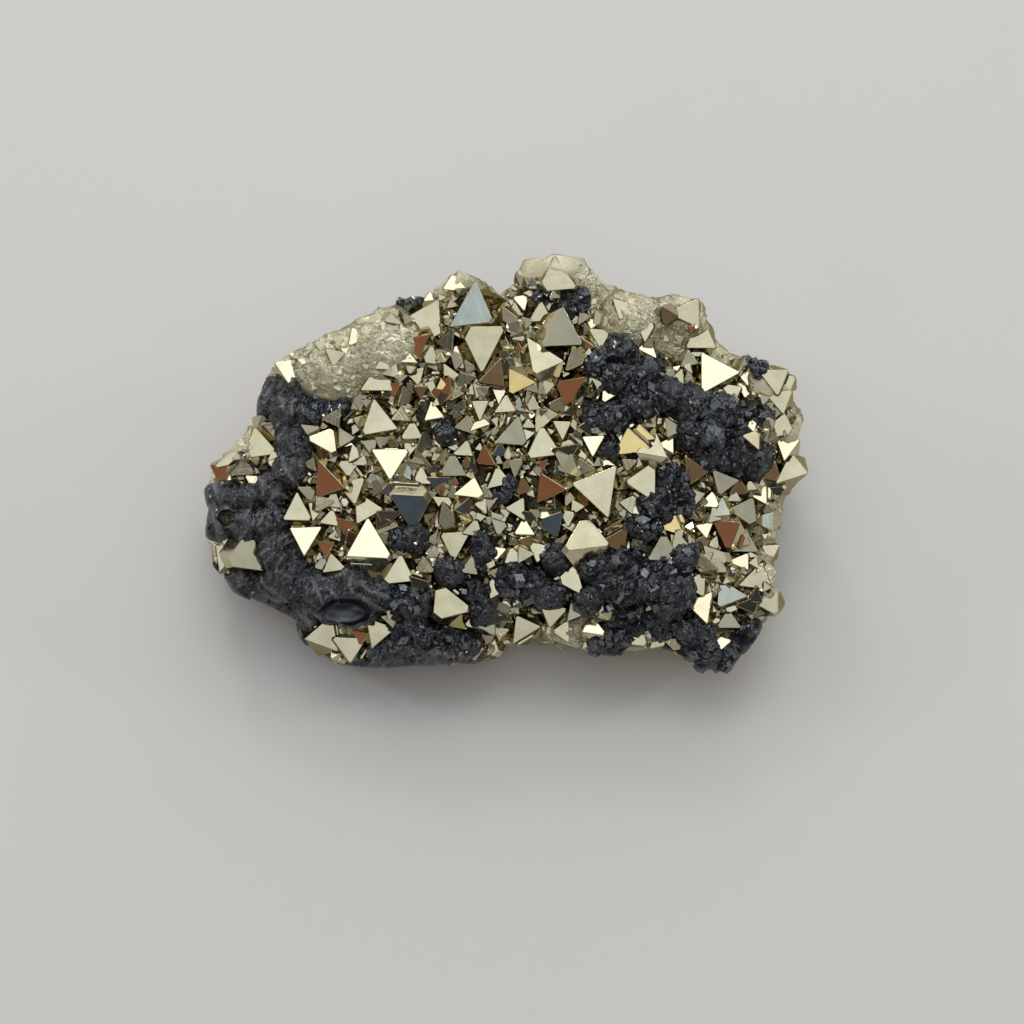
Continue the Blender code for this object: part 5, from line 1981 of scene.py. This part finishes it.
def build_studio() -> None:
    """The lights, the dim room, the floor and the camera."""
    for softbox in SOFTBOXES:
        softbox.build()
    build_room()
    scene = bpy.context.scene
    scene.view_settings.view_transform = "Standard"
    build_floor()
    build_camera()


# ---- The specimen ----


# The seed of the random numbers, and how far the looks stay inside the part's box, in metres.
SEED = 7
HAIR = 0.00002
# How many small crystals grow out of each listed one.
GROWN_EACH = 2
# The wear of each kind of crystal: its bevel in millimetres, and its greatest cut over the least.
LISTED_WEAR = (0.1, 0.24)
DRUSE_WEAR = (0.07, 0.3)
SMALL_WEAR = (0.08, 0.45)
CHIP_WEAR = (0.06, 0.3)
GRAIN_WEAR = (0.1, 0.3)
# The crystals over the sphalerite's knots, and the fewer and smaller ones over its balls.
KNOT_CRYSTALS = BlendeCrystals(15, 0.9)
BALL_CRYSTALS = BlendeCrystals(9, 0.5)
BALL_MARK = "_ball_"
# The salt of the first mass of sphalerite, and how much more that of each next one is.
FIRST_SALT = 200
SALT_STEP = 10


@dataclass
class Specimen:
    """The looks of the specimen, piece by piece.

    Attributes:
        room: the box that they stay inside.
        effects: the shared shader effects.
        chance: the source of random numbers.
    """

    room: Room
    effects: Effects
    chance: np.random.Generator

    def place(
        self,
        name: str,
        surface: Surface,
        material: bpy.types.Material,
        slot: str,
        stands_for: tuple[str, ...] = (),
        flat: bool = False,
    ) -> None:
        """Adds one piece to the specimen.

        Args:
            name: the piece's name.
            surface: its surface.
            material: its finish.
            slot: the material slot that it belongs to, which is not used.
            stands_for: the part's nodes that it is shown in place of.
            flat: whether each triangle is shaded as a flat face.
        """
        surface.points = self.room.hold(surface.points)
        piece = make_piece(name, surface, material, flat)
        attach(piece, ROOT_BODY)
        if stands_for:
            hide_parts(*stands_for)
        log.info("%s: %d triangles", name, len(surface.triangles))

    def build_pyrite(self) -> None:
        """The granular mass, the listed crystals and what grows on them, the druse, the chips and the grains."""
        crystal = CRYSTAL_FINISH.build(self.effects)
        granular = GRANULAR_FINISH.build(self.effects)
        small = DRUSE_FINISH.build(self.effects)
        grain = GRAIN_FINISH.build(self.effects)
        self.place("pyrite_mass", GranularMass().build(), granular, "pyrite", ("pyrite",))
        tables = {
            "crest": CREST_CRYSTALS, "left": LEFT_CRYSTALS, "centre": CENTRE_CRYSTALS,
            "right": RIGHT_CRYSTALS,
        }
        for name, rows in tables.items():
            crystals = table_crystals(rows)
            grown = crystals.joined(overgrown(crystals, self.chance, GROWN_EACH))
            self.place(f"pyrite_crystals_{name}", grown.bevelled(*LISTED_WEAR), crystal, "pyrite")
        strewn = FILLING.build(self.chance).joined(STANDING.build(self.chance))
        self.place("pyrite_druse", strewn.bevelled(*DRUSE_WEAR), small, "pyrite")
        facing = FACING.build(self.chance).joined(BROAD.build(self.chance))
        self.place("pyrite_small_crystals", facing.bevelled(*SMALL_WEAR), crystal, "pyrite")
        self.place("pyrite_chips", CHIPS.build(self.chance).bevelled(*CHIP_WEAR), small, "pyrite")
        grains = FineGrains().build(self.chance).bevelled(*GRAIN_WEAR)
        self.place("pyrite_grains", grains, grain, "pyrite")

    def build_sphalerite(self) -> None:
        """Each mass of sphalerite."""
        blende = BLENDE_FINISH.build(self.effects)
        for i, (name, mass) in enumerate(SPHALERITE.items()):
            knots = SphaleriteMass(mass, FIRST_SALT + SALT_STEP * i, name == WRAPPED_MASS).build()
            self.place(f"{name}_knots", knots, blende, "sphalerite", (name,))
        glassy = GLASSY_FINISH.build(self.effects)
        balls = tuple(knot for name, mass in SPHALERITE.items() if BALL_MARK in name for knot in mass)
        others = tuple(knot for mass in SPHALERITE.values() for knot in mass if knot not in balls)
        crystals = KNOT_CRYSTALS.build(self.chance, others).joined(BALL_CRYSTALS.build(self.chance, balls))
        self.place("sphalerite_crystals", crystals.twelve_faced(), glassy, "sphalerite", flat=True)


def main() -> None:
    """Builds the specimen and its studio."""
    logging.basicConfig(level=logging.INFO)
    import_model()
    part_low, part_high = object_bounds()
    room = Room(np.array(part_low) + HAIR, np.array(part_high) - HAIR)
    room.low[2] = part_low.z
    effects = Effects(mosaic_group(), growth_group(), foil_group(), mottle_group())
    specimen = Specimen(room, effects, np.random.default_rng(SEED))
    specimen.build_pyrite()
    specimen.build_sphalerite()
    build_studio()


if __name__ == "__main__":
    main()
